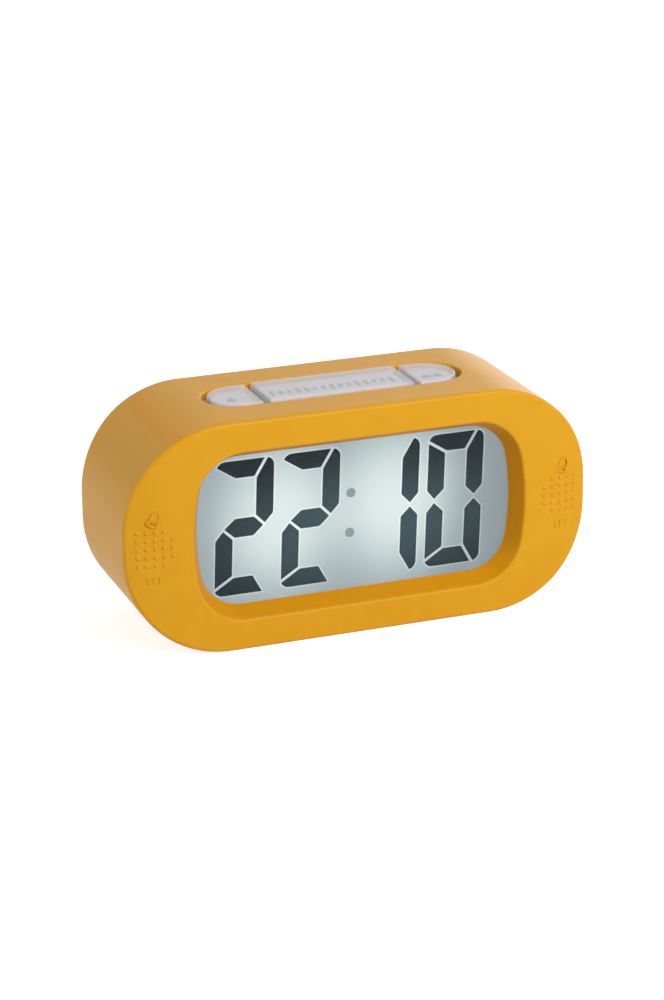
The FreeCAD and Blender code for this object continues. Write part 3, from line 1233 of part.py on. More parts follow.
def make_key_board():
    """The narrow board under the top keys, its switches and the screws that hang it."""
    board = new_body("key_pcb")
    sketch = new_sketch(board, "key_pcb_sketch", "XY_Plane", 0.0, KEY_BOARD_Y, KEY_BOARD_UP)
    rectangle(sketch, 2 * KEY_BOARD_HALF, KEY_BOARD_REAR - KEY_BOARD_FRONT)
    pad(board, "key_pcb_pad", sketch, size.board_thickness, "down")
    screws = []
    for side in (-1, 1):
        word = "left" if side < 0 else "right"
        across = side * KEY_POST_ACROSS
        hole = new_sketch(board, f"{word}_hang_hole", "XY_Plane", across, KEY_BOARD_Y,
                          KEY_BOARD_UP)
        circle(hole, size.board_screw_size + 2 * size.fit_gap)
        pocket(board, f"{word}_hang_cut", hole, size.board_thickness, "down")
        under = KEY_BOARD_UP - size.board_thickness
        head = rod(f"{word}_hang_head", size.board_screw_head, size.board_screw_head_height,
                   across, KEY_BOARD_Y, under, "-z")
        shank = rod(f"{word}_hang_shank", size.board_screw_size,
                    size.board_thickness + size.board_screw_reach, across, KEY_BOARD_Y,
                    under, "z")
        screws.append(fuse(f"{word}_hang_screw", [head, shank]))
    keep("key_pcb", board)
    keep("key_pcb_screws", fuse("key_pcb_screws", screws))
    bore_depth = size.plunger_hidden + size.key_travel + size.move_gap
    switches = []
    for word, across in (("left", -KEY_MIDDLE), ("centre", sized(0)), ("right", KEY_MIDDLE)):
        housing = box(f"{word}_key_switch_box", size.switch_size, size.switch_size,
                      size.switch_height, across, 0.0,
                      KEY_BOARD_UP + size.switch_height / 2)
        bore = rod(f"{word}_key_switch_bore", size.plunger_size + 2 * size.fit_gap, bore_depth,
                   across, 0.0, SWITCH_TOP - bore_depth, "z")
        switches.append(cut(f"{word}_key_switch", housing, bore))
    keep("key_switches", fuse("key_switches", switches))


def make_press_pads():
    """The push pads behind the dotted fields, with their plungers and switches."""
    housings = []
    for side in (-1, 1):
        word = "left" if side < 0 else "right"
        across = side * PAD_ACROSS
        face = rod(f"{word}_pad_face", size.pad_size,
                   PAD_FLANGE + size.flange_thickness - PAD_FACE, across, at_depth(PAD_FACE))
        flange = rod(f"{word}_pad_flange", size.pad_size + 2 * size.key_wall,
                     size.flange_thickness, across, at_depth(PAD_FLANGE))
        stem = rod(f"{word}_pad_stem", size.stem_size,
                   PAD_PLUNGER_FRONT - size.hair_gap - PAD_FLANGE, across,
                   at_depth(PAD_FLANGE))
        keep(f"{word}_pad_key", fuse(f"{word}_pad_key", [face, flange, stem]))
        keep(f"{word}_pad_plunger", fuse_one(f"{word}_pad_plunger", rod(
            f"{word}_pad_plunger_rod", size.plunger_size,
            size.plunger_proud + size.plunger_hidden, across,
            at_depth(PAD_PLUNGER_FRONT))))
        bore_depth = size.plunger_hidden + size.pad_travel + size.move_gap
        housing = box(f"{word}_pad_switch_box", size.switch_size, size.switch_height,
                      size.switch_size, across,
                      at_depth(PAD_SWITCH_FRONT + size.switch_height / 2))
        bore = rod(f"{word}_pad_switch_bore", size.plunger_size + 2 * size.fit_gap, bore_depth,
                   across, at_depth(PAD_SWITCH_FRONT))
        housings.append(cut(f"{word}_pad_switch", housing, bore))
    keep("pad_switches", fuse("pad_switches", housings))


# ---------------------------------------------------------------- battery bay

def make_cells():
    """Three AAA cells in series; neighbours point opposite ways."""
    for word, level, side in (("top", 1, 1), ("middle", 0, -1), ("bottom", -1, 1)):
        up = level * size.cell_pitch
        can_length = size.cell_length - size.nub_length
        start = CONTACT_FACE - size.cell_length
        can = rod(f"{word}_can", size.cell_size, can_length, start, 0.0, 0.0, "x")
        nub = rod(f"{word}_nub", size.nub_size, size.cell_length, start, 0.0, 0.0, "x")
        cell = fuse(f"battery_cell_{word}", [can, nub])
        turn = 0.0 if side > 0 else 180.0
        keep(f"battery_cell_{word}", cell, back=at_depth(CELL_DEPTH), up=up,
             axis=(0, 0, 1), turn=turn)


def coil_spring(name, side, level):
    """A round-wire spring between a cell's flat end and its contact plate."""
    body = new_body(name)
    sketch = new_sketch(body, name + "_section", "XZ_Plane",
                        (size.spring_size - size.spring_wire) / 2, size.spring_wire / 2)
    circle(sketch, size.spring_wire)
    coil = body.newObject("PartDesign::AdditiveHelix", name + "_coil")
    coil.Profile = sketch
    coil.ReferenceAxis = (next(item for item in body.Origin.OriginFeatures
                               if item.Role == "Z_Axis"), [""])
    coil.Mode = "height-turns-angle"
    coil.Turns = 3
    bind(coil, "Height", size.spring_length - size.spring_wire)
    doc.recompute()
    if body.Shape.Volume <= 0:
        raise RuntimeError(f"{name}: the spring has no volume")
    place(body, side * CONTACT_FACE, at_depth(CELL_DEPTH), level * size.cell_pitch,
          (0, 1, 0), -90.0 * side)
    return body


def make_springs():
    keep("battery_springs", fuse("battery_springs", [
        coil_spring("spring_top", -1, 1), coil_spring("spring_middle", 1, 0),
        coil_spring("spring_bottom", -1, -1)]))


def make_contacts():
    """Two single plates with output tabs, and two plates that bridge a pair of cells."""
    middle_x = CONTACT_FACE + size.plate_thickness / 2
    middle_y = at_depth(CELL_DEPTH)
    tab_front = BAY_FLOOR - size.bay_wall - size.tab_reach
    plates = []
    for side in (-1, 1):
        word = "left" if side < 0 else "right"
        single = box(f"{word}_single", size.plate_thickness, size.plate_size, size.plate_size,
                     side * middle_x, middle_y, side * size.cell_pitch)
        tab = box(f"{word}_tab", size.plate_thickness, CELL_DEPTH - tab_front, size.tab_width,
                  side * middle_x, at_depth((CELL_DEPTH + tab_front) / 2),
                  side * size.cell_pitch)
        plates.append(fuse(f"{word}_output", [single, tab]))
        plates.append(box(f"{word}_bridge", size.plate_thickness, size.plate_size,
                          size.plate_size + size.cell_pitch, side * middle_x, middle_y,
                          -side * size.cell_pitch / 2))
    keep("battery_contacts", fuse("battery_contacts", plates))


def make_door():
    """The battery door: plate, screw lug, two locating ribs and finger grooves."""
    body = front_plate("battery_door", lambda sketch: door_outline(sketch, sized(0)),
                       DOOR_INSIDE, size.door_thickness)
    neck = front_sketch(body, "door_neck", DOOR_INSIDE, -LUG_ACROSS / 2)
    rectangle(neck, LUG_ACROSS, size.lug_size)
    pad(body, "door_neck_pad", neck, size.door_thickness)
    round_pad(body, "door_lug", DOOR_INSIDE, size.door_thickness, size.lug_size, -LUG_ACROSS)
    for side in (-1, 1):
        word = "lower" if side < 0 else "upper"
        up = side * (size.bay_half_height - size.move_gap - size.rib_thickness / 2)
        rib = front_sketch(body, f"{word}_rib", DOOR_INSIDE - size.rib_depth, 0.0, up)
        rectangle(rib, size.rib_length, size.rib_thickness)
        pad(body, f"{word}_rib_pad", rib, size.rib_depth + size.door_thickness / 2)
    for number in range(4):
        groove = front_sketch(body, f"grip_{number}", REAR_FACE - size.grip_depth,
                              size.grip_across - number * size.grip_pitch)
        rectangle(groove, size.grip_pitch / 2, size.grip_height)
        pocket(body, f"grip_cut_{number}", groove, size.door_thickness)
    round_pocket(body, "door_screw_hole", DOOR_INSIDE, size.door_thickness,
                 size.door_screw_size + 2 * size.fit_gap, -LUG_ACROSS)
    round_pocket(body, "door_screw_sink", SCREW_SEAT, size.door_thickness,
                 size.door_screw_head + 2 * size.fit_gap, -LUG_ACROSS)
    keep("battery_door", body)
    head = rod("door_screw_head", size.door_screw_head, size.door_screw_sink, -LUG_ACROSS,
               at_depth(SCREW_SEAT))
    shank = rod("door_screw_shank", size.door_screw_size, size.door_screw_length,
                -LUG_ACROSS, at_depth(SCREW_SEAT - size.door_screw_length))
    slots = [box(f"door_screw_slot_{word}", wide, size.door_screw_sink, tall,
                 -LUG_ACROSS, at_depth(REAR_FACE), 0.0)
             for word, wide, tall in (
                 ("a", size.door_screw_head / 5, 0.7 * size.door_screw_head),
                 ("b", 0.7 * size.door_screw_head, size.door_screw_head / 5))]
    keep("door_screw", cut_all("door_screw", fuse("door_screw_blank", [head, shank]), slots))


# ---------------------------------------------------------------- sounder and wiring

def make_sounder():
    keep("piezo_disc", fuse_one("piezo_disc", rod(
        "sounder_plate", size.sounder_size, size.sounder_thickness, SOUNDER_ACROSS,
        at_depth(DISC_FRONT))))
    keep("piezo_ceramic", fuse_one("piezo_ceramic", rod(
        "sounder_ceramic", size.ceramic_size, size.ceramic_thickness, SOUNDER_ACROSS,
        at_depth(DISC_FRONT - size.ceramic_thickness))))


def wire_path(points):
    """Straight runs joined by tangent arcs, each as large as its two runs allow."""
    edges, start = [], points[0]
    for before, corner, after in zip(points, points[1:], points[2:]):
        back, ahead = before - corner, after - corner
        reach = 0.45 * min(back.Length, ahead.Length)
        back.normalize()
        ahead.normalize()
        half_angle = back.getAngle(ahead) / 2
        radius = reach * math.tan(half_angle)
        inward = (back + ahead).normalize()
        entry, leave = corner + back * reach, corner + ahead * reach
        crown = corner + inward * (radius / math.sin(half_angle) - radius)
        edges.append(Part.makeLine(start, entry))
        edges.append(Part.Arc(entry, crown, leave).toShape())
        start = leave
    edges.append(Part.makeLine(start, points[-1]))
    return Part.Wire(edges)


def wire_solid(places, section):
    """Sweeps a round section of a given diameter along (across, depth, up) places."""
    points = [FreeCAD.Vector(float(across), float(at_depth(sized(depth))), float(up))
              for across, depth, up in places]
    path = wire_path(points)
    heading = points[1] - points[0]
    ring = Part.Wire([Part.makeCircle(section / 2, points[0], heading)])
    solid = path.makePipeShell([ring], True, False)
    expected = path.Length * math.pi * section ** 2 / 4
    if abs(solid.Volume / expected - 1) > 0.02:
        raise RuntimeError(f"a wire has volume {solid.Volume:.2f}, not {expected:.2f}")
    return solid


def keep_wires(name, routes):
    """Registers one or more swept wires as a sub-part."""
    bundle = doc.addObject("Part::Feature", name)
    bundle.Shape = Part.makeCompound([wire_solid(route, float(size.wire_size))
                                      for route in routes])
    keep(name, bundle)


def make_wires():
    """Battery leads, the sounder pair and the flat cable between the two boards."""
    tab_front = BAY_FLOOR - size.bay_wall - size.tab_reach - size.hair_gap
    lead_x = CONTACT_FACE + size.plate_thickness / 2
    board = BOARD_BACK + size.hair_gap
    lead_run = (tab_front - board - size.lead_slack) / 2
    for name, side in (("red_wire", 1), ("black_wire", -1)):
        far_x, far_up = side * lead_x, side * size.cell_pitch
        near_x = side * (lead_x - size.lead_shift)
        near_up = side * (size.cell_pitch - size.lead_lower)
        keep_wires(name, [[(far_x, tab_front, far_up),
                           (far_x, tab_front - lead_run, far_up),
                           (near_x, board + lead_run, near_up),
                           (near_x, board, near_up)]])
    disc = DISC_FRONT - size.hair_gap
    far_x = SOUNDER_ACROSS + size.ceramic_size / 2 + size.wire_size
    near_x = far_x - size.sounder_shift
    keep_wires("sounder_wires", [
        [(far_x, disc, up), (far_x, disc - size.sounder_run, up),
         (near_x, board + size.sounder_run, up), (near_x, board, up)]
        for up in (-size.wire_size, size.wire_size)])
    under = KEY_BOARD_UP - size.board_thickness - size.hair_gap
    foot_length = size.ribbon_reach + size.ribbon_thickness / 2
    drop = box("ribbon_drop", size.ribbon_width, size.ribbon_thickness, size.ribbon_drop,
               size.ribbon_across, at_depth(board) + size.ribbon_reach,
               under - size.ribbon_drop / 2)
    foot = box("ribbon_foot", size.ribbon_width, foot_length, size.ribbon_thickness,
               size.ribbon_across, at_depth(board) + foot_length / 2,
               under - size.ribbon_drop + size.ribbon_thickness / 2)
    keep("key_ribbon", fuse("key_ribbon", [drop, foot]))


# ---------------------------------------------------------------- writing out

def check_document():
    """Stops on any failed object and on any sub-part that isn't made of sound solids."""
    doc.recompute()
    for item in doc.Objects:
        if "Invalid" in item.State or "Error" in item.State:
            raise RuntimeError(f"{item.Name} ({item.Label}): {item.State}")
    for name, item in nodes.items():
        if item.Shape.isNull() or not item.Shape.isValid() or not item.Shape.Solids:
            raise RuntimeError(f"{name}: null, invalid or without a solid")


def write_parts():
    os.makedirs("parts", exist_ok=True)
    for name, item in nodes.items():
        item.Shape.exportStep(f"parts/{name}.step")
        bounds = item.Shape.BoundBox
        print(f"{name:26s} solids {len(item.Shape.Solids):3d} volume {item.Shape.Volume:10.2f} "
              f"x {bounds.XMin:7.2f} {bounds.XMax:7.2f} y {bounds.YMin:7.2f} {bounds.YMax:7.2f} "
              f"z {bounds.ZMin:6.2f} {bounds.ZMax:6.2f}")


for make in (make_sleeve, make_front_case, make_rear_case, make_case_screws, make_lens,
             make_lens_tape, make_glasses, make_segments, make_holder, make_light_parts,
             make_main_board, make_board_screws, make_board_parts, make_top_keys,
             make_key_board, make_press_pads, make_cells, make_springs, make_contacts,
             make_door, make_sounder, make_wires):
    make()
check_document()
write_parts()
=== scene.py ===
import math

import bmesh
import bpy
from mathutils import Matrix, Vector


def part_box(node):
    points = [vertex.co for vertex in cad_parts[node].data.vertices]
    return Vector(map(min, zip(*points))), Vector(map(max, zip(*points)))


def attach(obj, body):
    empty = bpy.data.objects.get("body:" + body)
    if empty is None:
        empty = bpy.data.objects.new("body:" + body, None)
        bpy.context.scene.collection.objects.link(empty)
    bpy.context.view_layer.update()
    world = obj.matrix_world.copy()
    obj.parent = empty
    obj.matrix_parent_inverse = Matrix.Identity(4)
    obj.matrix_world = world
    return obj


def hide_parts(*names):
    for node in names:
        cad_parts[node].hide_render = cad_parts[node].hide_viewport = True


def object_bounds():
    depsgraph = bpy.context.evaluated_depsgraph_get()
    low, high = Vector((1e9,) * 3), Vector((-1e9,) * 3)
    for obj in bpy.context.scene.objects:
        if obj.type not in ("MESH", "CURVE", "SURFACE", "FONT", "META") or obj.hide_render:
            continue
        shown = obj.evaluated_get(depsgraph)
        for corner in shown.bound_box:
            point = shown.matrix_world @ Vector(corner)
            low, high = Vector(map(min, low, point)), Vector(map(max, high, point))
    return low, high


bl_info = {
    "name": "Alarm clock finishes",
    "version": (1, 0, 0),
    "blender": (4, 5, 0),
    "location": "3D View > Sidebar > Clock",
    "description": "Finishes, printed marks, cells and studio for a digital alarm clock",
    "category": "Object",
}

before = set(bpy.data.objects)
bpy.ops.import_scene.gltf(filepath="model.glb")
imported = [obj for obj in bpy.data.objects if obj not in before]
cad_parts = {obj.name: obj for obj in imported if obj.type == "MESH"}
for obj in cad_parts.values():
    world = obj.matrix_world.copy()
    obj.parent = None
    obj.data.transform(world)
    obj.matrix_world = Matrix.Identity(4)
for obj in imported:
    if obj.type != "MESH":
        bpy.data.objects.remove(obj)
CAD_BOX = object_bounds()
MM = 0.001

# Each lamp's place, width and height, in metres.
LAMPS = {
    "front": ((0.25, -0.75, 0.55), 0.35, 0.30),
    "left": ((-0.80, 0.15, 0.33), 0.60, 0.60),
    "right": ((0.75, 0.50, 0.33), 0.90, 0.60),
}


# ---------------------------------------------------------------- settings

def colour_setting(name, description, default):
    """A colour property, as linear values."""
    return bpy.props.FloatVectorProperty(name=name, description=description,
                                         subtype="COLOR", size=3, default=default)


def length_setting(name, description, default):
    """A length property, given in millimetres."""
    return bpy.props.FloatProperty(name=name, description=description, subtype="DISTANCE",
                                   unit="LENGTH", default=default * MM)


class ClockColours(bpy.types.PropertyGroup):
    """Base colours, as linear values."""

    silicone: colour_setting(
        "Silicone", "Mustard of the pull-over sleeve", (0.755, 0.365, 0.010))
    silicone_shade: colour_setting(
        "Silicone shade", "Slightly deeper mottling in the silicone", (0.735, 0.345, 0.007))
    # Painted shade: a deeper, darker orange used only in the recess of the funnel round the
    # window.
    silicone_funnel_shade: colour_setting(
        "Deep silicone", "Silicone in the funnel round the window", (0.77, 0.325, 0.002))
    white_plastic: colour_setting(
        "White plastic", "Key bodies and display frame", (0.84, 0.83, 0.85))
    case_plastic: colour_setting(
        "Case plastic", "Case halves and battery door", (0.70, 0.68, 0.63))
    clear_tint: colour_setting(
        "Cap tint", "Clear caps of the keys", (0.93, 0.92, 0.95))
    key_ink: colour_setting(
        "Key ink", "Grey marks set into the clear caps", (0.29, 0.29, 0.33))
    glow: colour_setting(
        "Display glow", "Lit display away from the lamps", (0.335, 0.405, 0.43))
    glow_spot: colour_setting(
        "Lamp glow", "Lit display in front of a lamp", (0.72, 0.81, 0.79))
    glow_edge: colour_setting(
        "End glow", "Lit display at its dim end", (0.255, 0.295, 0.31))
    # Painted glow halo: a pale band that glows brighter than the display round each dark cell.
    painted_halo: colour_setting(
        "Fringe", "Pale rim round each dark cell", (0.49, 0.56, 0.58))
    painted_halo_spot: colour_setting(
        "Lit fringe", "Pale rim in front of a lamp", (0.84, 0.91, 0.90))
    ink: colour_setting(
        "Display ink", "Dark cells of the display", (0.011, 0.016, 0.019))
    ink_spot: colour_setting(
        "Lit ink", "Dark cells at the middle of the display", (0.052, 0.088, 0.105))
    pale_ink: colour_setting(
        "Colon ink", "Half-toned cells of the colon", (0.215, 0.285, 0.305))


class ClockSizes(bpy.types.PropertyGroup):
    """Sizes of the pieces that are made here."""

    ink_thickness: length_setting(
        "Ink thickness", "How thick the marks in the caps are", 0.03)
    ink_depth: length_setting(
        "Ink height", "How far the marks lie above the key's white body", 0.3)
    # Width of the painted glow halo round each dark cell.
    painted_halo_width: length_setting(
        "Fringe width", "Width of the pale rim round each dark cell", 0.42)
    bar_pitch: length_setting("Bar pitch", "Spacing of the middle key's bars", 2.6)
    bar_height: length_setting("Bar height", "Length of the middle key's longest bar", 4.4)
    bar_width: length_setting("Bar width", "Width of each bar", 0.65)
    triangle: length_setting("Triangle", "Height of the end keys' triangles", 2.8)


class ClockStudio(bpy.types.PropertyGroup):
    """Lamps and camera."""

    front_power: bpy.props.FloatProperty(
        name="Front lamp", description="Power of the lamp in front and above",
        unit="POWER", default=6.0)
    left_power: bpy.props.FloatProperty(
        name="Left lamp", description="Power of the soft lamp on the left",
        unit="POWER", default=1.9)
    right_power: bpy.props.FloatProperty(
        name="Right lamp", description="Power of the soft lamp behind and to the right",
        unit="POWER", default=3.4)
    world_level: bpy.props.FloatProperty(
        name="Room light", description="Strength of the even light from all round",
        min=0.0, default=0.24)
    yaw: bpy.props.FloatProperty(
        name="Yaw", description="How far the camera stands to the left",
        subtype="ANGLE", default=math.radians(20.2195))
    pitch: bpy.props.FloatProperty(
        name="Pitch", description="How far the camera looks down",
        subtype="ANGLE", default=math.radians(19.4946))
    roll: bpy.props.FloatProperty(
        name="Roll", description="Tilt of the camera",
        subtype="ANGLE", default=math.radians(-0.7347))
    distance: length_setting("Distance", "From the camera to the point it turns about",
                             844.4414)
    shift_left: length_setting("Shift left", "How far the camera is slid to its left", 1.7781)
    shift_down: length_setting("Shift down", "How far the camera is slid downward", 0.2243)
    lens: bpy.props.FloatProperty(
        name="Lens", description="Focal length", subtype="DISTANCE_CAMERA", default=105.06)


def settings():
    """The scene's colours, sizes and studio groups."""
    scene = bpy.context.scene
    return scene.clock_colours, scene.clock_sizes, scene.clock_studio


# ---------------------------------------------------------------- materials

class Finish:
    """A node material about one Principled shader, with short calls for its detail."""

    def __init__(self, name, colour, roughness, **constants):
        self.material = bpy.data.materials.new(name)
        self.material.use_nodes = True
        self.tree = self.material.node_tree
        self.shader = self.tree.nodes["Principled BSDF"]
        self.place = None
        self.set("Base Color", (*colour[:3], 1.0))
        self.set("Roughness", roughness)
        for socket, value in constants.items():
            self.set(socket.replace("_", " "), value)

    def set(self, socket, value):
        """Sets a constant on the shader's own socket."""
        self.shader.inputs[socket].default_value = value

    def node(self, kind, **inputs):
        """Adds a node and sets its inputs by name."""
        made = self.tree.nodes.new(kind)
        for socket, value in inputs.items():
            made.inputs[socket.replace("_", " ")].default_value = value
        return made

    def link(self, source, target):
        """Links a node's output to another's input."""
        self.tree.links.new(source, target)

    def position(self):
        """The point on the object in metres."""
        if self.place is None:
            self.place = self.node("ShaderNodeTexCoord").outputs["Object"]
        return self.place

    def noise(self, feature, detail=2.0):
        """Noise whose blobs are about this large, in metres."""
        noise = self.node("ShaderNodeTexNoise", Scale=1.0 / feature, Detail=detail)
        self.link(self.position(), noise.inputs["Vector"])
        return noise.outputs["Fac"]

    def span(self, value, low, high, new_low=0.0, new_high=1.0, smooth=False):
        """Maps a value from one range to another, clamped."""
        span = self.node("ShaderNodeMapRange", From_Min=low, From_Max=high,
                         To_Min=new_low, To_Max=new_high)
        if smooth:
            span.interpolation_type = "SMOOTHERSTEP"
        self.link(value, span.inputs["Value"])
        return span.outputs["Result"]

    def joined(self, operation, first, second):
        """Two values put together, kept within 0 to 1."""
        made = self.node("ShaderNodeMath")
        made.operation = operation
        made.use_clamp = True
        self.link(first, made.inputs[0])
        self.link(second, made.inputs[1])
        return made.outputs["Value"]

    def vector(self, operation, first, second=None):
        """A vector node on a socket and, where it takes one, a constant vector."""
        made = self.node("ShaderNodeVectorMath")
        made.operation = operation
        self.link(first, made.inputs[0])
        if second is not None:
            made.inputs[1].default_value = second
        return made.outputs["Value" if operation == "LENGTH" else "Vector"]

    def axis(self, vector, name):
        """The number that a vector has along one axis."""
        split = self.node("ShaderNodeSeparateXYZ")
        self.link(vector, split.inputs["Vector"])
        return split.outputs[name]

    def unsigned(self, value):
        """A value without its sign."""
        made = self.node("ShaderNodeMath")
        made.operation = "ABSOLUTE"
        self.link(value, made.inputs[0])
        return made.outputs["Value"]

    def bell(self, across, up, reach, stretch=1.0):
        """A round soft patch facing the front, 1 at its middle and 0 at its reach."""
        offset = self.vector("SUBTRACT", self.position(), (across, 0.0, up))
        flat = self.vector("MULTIPLY", offset, (1.0 / stretch, 0.0, 1.0))
        return self.span(self.vector("LENGTH", flat), reach, 0.0, smooth=True)

    def blend(self, factor, first, second):
        """A colour between two colours or sockets."""
        mix = self.node("ShaderNodeMix")
        mix.data_type = "RGBA"
        self.link(factor, mix.inputs["Factor"])
        for socket, colour in (("A", first), ("B", second)):
            slot = next(item for item in mix.inputs if item.name == socket
                        and item.type == "RGBA")
            if isinstance(colour, bpy.types.NodeSocket):
                self.link(colour, slot)
            else:
                slot.default_value = (*colour[:3], 1.0)
        return next(item for item in mix.outputs if item.type == "RGBA")

    def mottle(self, first, second, feature, low=0.35, high=0.65, detail=3.0):
        """Base colour that wanders between two colours."""
        factor = self.span(self.noise(feature, detail), low, high)
        self.link(self.blend(factor, first, second), self.shader.inputs["Base Color"])
        return self

    def gloss_noise(self, low, high, feature):
        """Roughness that wanders between two values."""
        self.link(self.span(self.noise(feature, 3.0), 0.3, 0.7, low, high),
                  self.shader.inputs["Roughness"])
        return self

    def grain(self, feature, depth, strength=0.5, detail=2.0):
        """A fine moulded texture as a bump, its depth in metres."""
        bump = self.node("ShaderNodeBump", Strength=strength, Distance=depth)
        self.link(self.noise(feature, detail), bump.inputs["Height"])
        self.link(bump.outputs["Normal"], self.shader.inputs["Normal"])
        return self


def wear(finish, *nodes):
    """Gives a finish to carried-over CAD nodes."""
    for name in nodes:
        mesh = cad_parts[name].data
        mesh.materials.clear()
        mesh.materials.append(finish.material)


def shaded(colour, share):
    """A colour made darker."""
    return [share * channel for channel in colour]


def silicone(colours):
    """Matte silicone with painted shade in the window's funnel and soft haze at grazing
    angles.
    """
    finish = Finish("mustard_silicone", colours.silicone, 0.45, IOR=1.41,
                    Specular_IOR_Level=0.24, Sheen_Weight=0.12, Sheen_Roughness=0.4,
                    Sheen_Tint=(0.5, 0.75, 1.0, 1.0))
    wander = finish.span(finish.noise(9 * MM, 3.0), 0.3, 0.7)
    skin = finish.blend(wander, colours.silicone, colours.silicone_shade)
    # Painted shade: the recess of the funnel round the window takes a deeper, darker orange.
    finish.link(finish.blend(funnel_shade_mask(finish), skin, colours.silicone_funnel_shade),
                finish.shader.inputs["Base Color"])
    finish.gloss_noise(0.42, 0.46, 6 * MM)
    return finish.grain(0.16 * MM, 0.010 * MM, 0.3)


def funnel_shade_mask(finish):
    """1 in the funnel round the window, where shade is painted, and 0 on the rest of the
    sleeve.
    """
    rim = 4.5 * MM                              # the funnel's width beyond the lens
    face, throat = -23.6 * MM, -22.4 * MM       # where the funnel starts and is full, along Y
    low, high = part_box("display_lens")
    half_width, half_height = high.x + rim, (high.z - low.z) / 2 + rim
    offset = finish.vector("SUBTRACT", finish.position(), (low + high) / 2)
    share = finish.vector("MULTIPLY", offset, (1 / half_width, 0.0, 1 / half_height))
    mask = finish.span(finish.axis(finish.position(), "Y"), face, throat, smooth=True)
    for name in ("X", "Z"):
        within = finish.span(finish.unsigned(finish.axis(share, name)), 1.0, 0.99)
        mask = finish.joined("MULTIPLY", mask, within)
    return mask


def moulded(name, colour, roughness, texture=0.35, depth=0.02):
    """Moulded plastic with a spark-eroded texture; sizes in millimetres."""
    finish = Finish(name, colour, roughness, IOR=1.49)
    finish.mottle(colour, shaded(colour, 0.95), 14 * MM)
    finish.gloss_noise(roughness - 0.05, roughness + 0.06, 4 * MM)
    return finish.grain(texture * MM, depth * MM, 0.4)


def clear_sheet(name, refraction):
    """Coated clear sheet, with little glare, whose tint wanders very slightly."""
    finish = Finish(name, (1.0, 1.0, 1.0), 0.0, IOR=refraction, Transmission_Weight=1.0)
    return finish.mottle((1.0, 1.0, 1.0), (0.985, 0.99, 0.988), 18 * MM)


def clear_cap(colours):
    """Clear moulded cap over a white body, with a faint flow texture."""
    finish = Finish("clear_cap", colours.clear_tint, 0.16, IOR=1.20, Alpha=0.45)
    finish.gloss_noise(0.12, 0.20, 5 * MM)
    return finish.grain(2.5 * MM, 0.004 * MM, 0.15)


def metal(name, colour, roughness, feature=0.3):
    """Bare or plated metal with fine handling marks."""
    finish = Finish(name, colour, roughness, Metallic=1.0)
    finish.mottle(colour, shaded(colour, 0.86), 1.5 * MM)
    finish.gloss_noise(roughness - 0.06, roughness + 0.08, feature * MM)
    return finish.grain(feature * MM, 0.004 * MM, 0.3)


def circuit_board(name):
    """Green solder mask over faint copper tracks."""
    finish = Finish(name, (0.02, 0.16, 0.05), 0.32, IOR=1.5)
    tracks = finish.node("ShaderNodeTexBrick", Scale=300.0, Mortar_Size=0.03,
                         Color1=(0.018, 0.15, 0.045, 1.0), Color2=(0.024, 0.18, 0.06, 1.0),
                         Mortar=(0.05, 0.26, 0.09, 1.0))
    turned = finish.node("ShaderNodeMapping", Rotation=(math.pi / 2, 0.0, 0.0))
    finish.link(finish.position(), turned.inputs["Vector"])
    finish.link(turned.outputs["Vector"], tracks.inputs["Vector"])
    finish.link(tracks.outputs["Color"], finish.shader.inputs["Base Color"])
    return finish.grain(0.6 * MM, 0.01 * MM, 0.3)


def lit(name, even, spot, end=None):
    """A display layer that glows by its two lamps, or in its middle if no end is given."""
    finish = Finish(name, shaded(even, 0.1), 0.6, Specular_IOR_Level=0.0,
                    Emission_Strength=1.0)
    low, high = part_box("backlight_leds")
    if end is None:
        glow = finish.bell(2.3 * MM, low.z - 13 * MM, reach=31 * MM, stretch=2.3)
    else:
        across = finish.axis(finish.position(), "X")
        right_end = finish.span(across, 12 * MM, 50 * MM)
        left_end = finish.span(across, -34 * MM, -50 * MM, 0.0, 0.3)
        even = finish.blend(finish.joined("MAXIMUM", left_end, right_end), even, end)
        spots = [finish.bell(place, low.z - 7 * MM, reach=34 * MM, stretch=0.88)
                 for place in (low.x + 1 * MM, high.x + 1.5 * MM)]
        glow = finish.joined("ADD", *spots)
    finish.link(finish.blend(glow, even, spot), finish.shader.inputs["Emission Color"])
    return finish


# ---------------------------------------------------------------- meshes

def finish_mesh(name, mesh, body, finishes):
    """Makes a piece of a mesh, with its materials and body."""
    bmesh.ops.remove_doubles(mesh, verts=mesh.verts, dist=0.0005 * MM)
    bmesh.ops.recalc_face_normals(mesh, faces=mesh.faces)
    data = bpy.data.meshes.new(name)
    mesh.to_mesh(data)
    mesh.free()
    for finish in finishes:
        data.materials.append(finish.material)
    piece = bpy.data.objects.new(name, data)
    bpy.context.scene.collection.objects.link(piece)
    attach(piece, body)
    return piece


def plate(mesh, lower_points, upper_points):
    """Adds a closed plate between two matching outlines, as points in order."""
    lower = [mesh.verts.new(point) for point in lower_points]
    upper = [mesh.verts.new(point) for point in upper_points]
    mesh.faces.new(list(reversed(lower)))
    mesh.faces.new(upper)
    for n in range(len(lower)):
        after = (n + 1) % len(lower)
        mesh.faces.new((lower[n], lower[after], upper[after], upper[n]))


def printed(mesh, outline, height, thickness):
    """Adds a mark printed on a level surface at a height."""
    plate(mesh, [(x, y, height) for x, y in outline],
          [(x, y, height + thickness) for x, y in outline])


def pill_outline(x, y, width, height, steps=8):
    """A bar with round ends, standing along Y, about a centre."""
    radius, reach = width / 2, (height - width) / 2
    points = []
    for side in (1, -1):
        for n in range(steps + 1):
            angle = math.pi * n / steps
            points.append((x + side * radius * math.cos(angle),
                           y + side * (reach + radius * math.sin(angle))))
    return points


def triangle_outline(x, y, height):
    """A triangle that points along +Y, about a centre."""
    half = height * 0.58
    return [(x - half, y - height / 2), (x + half, y - height / 2), (x, y + height / 2)]


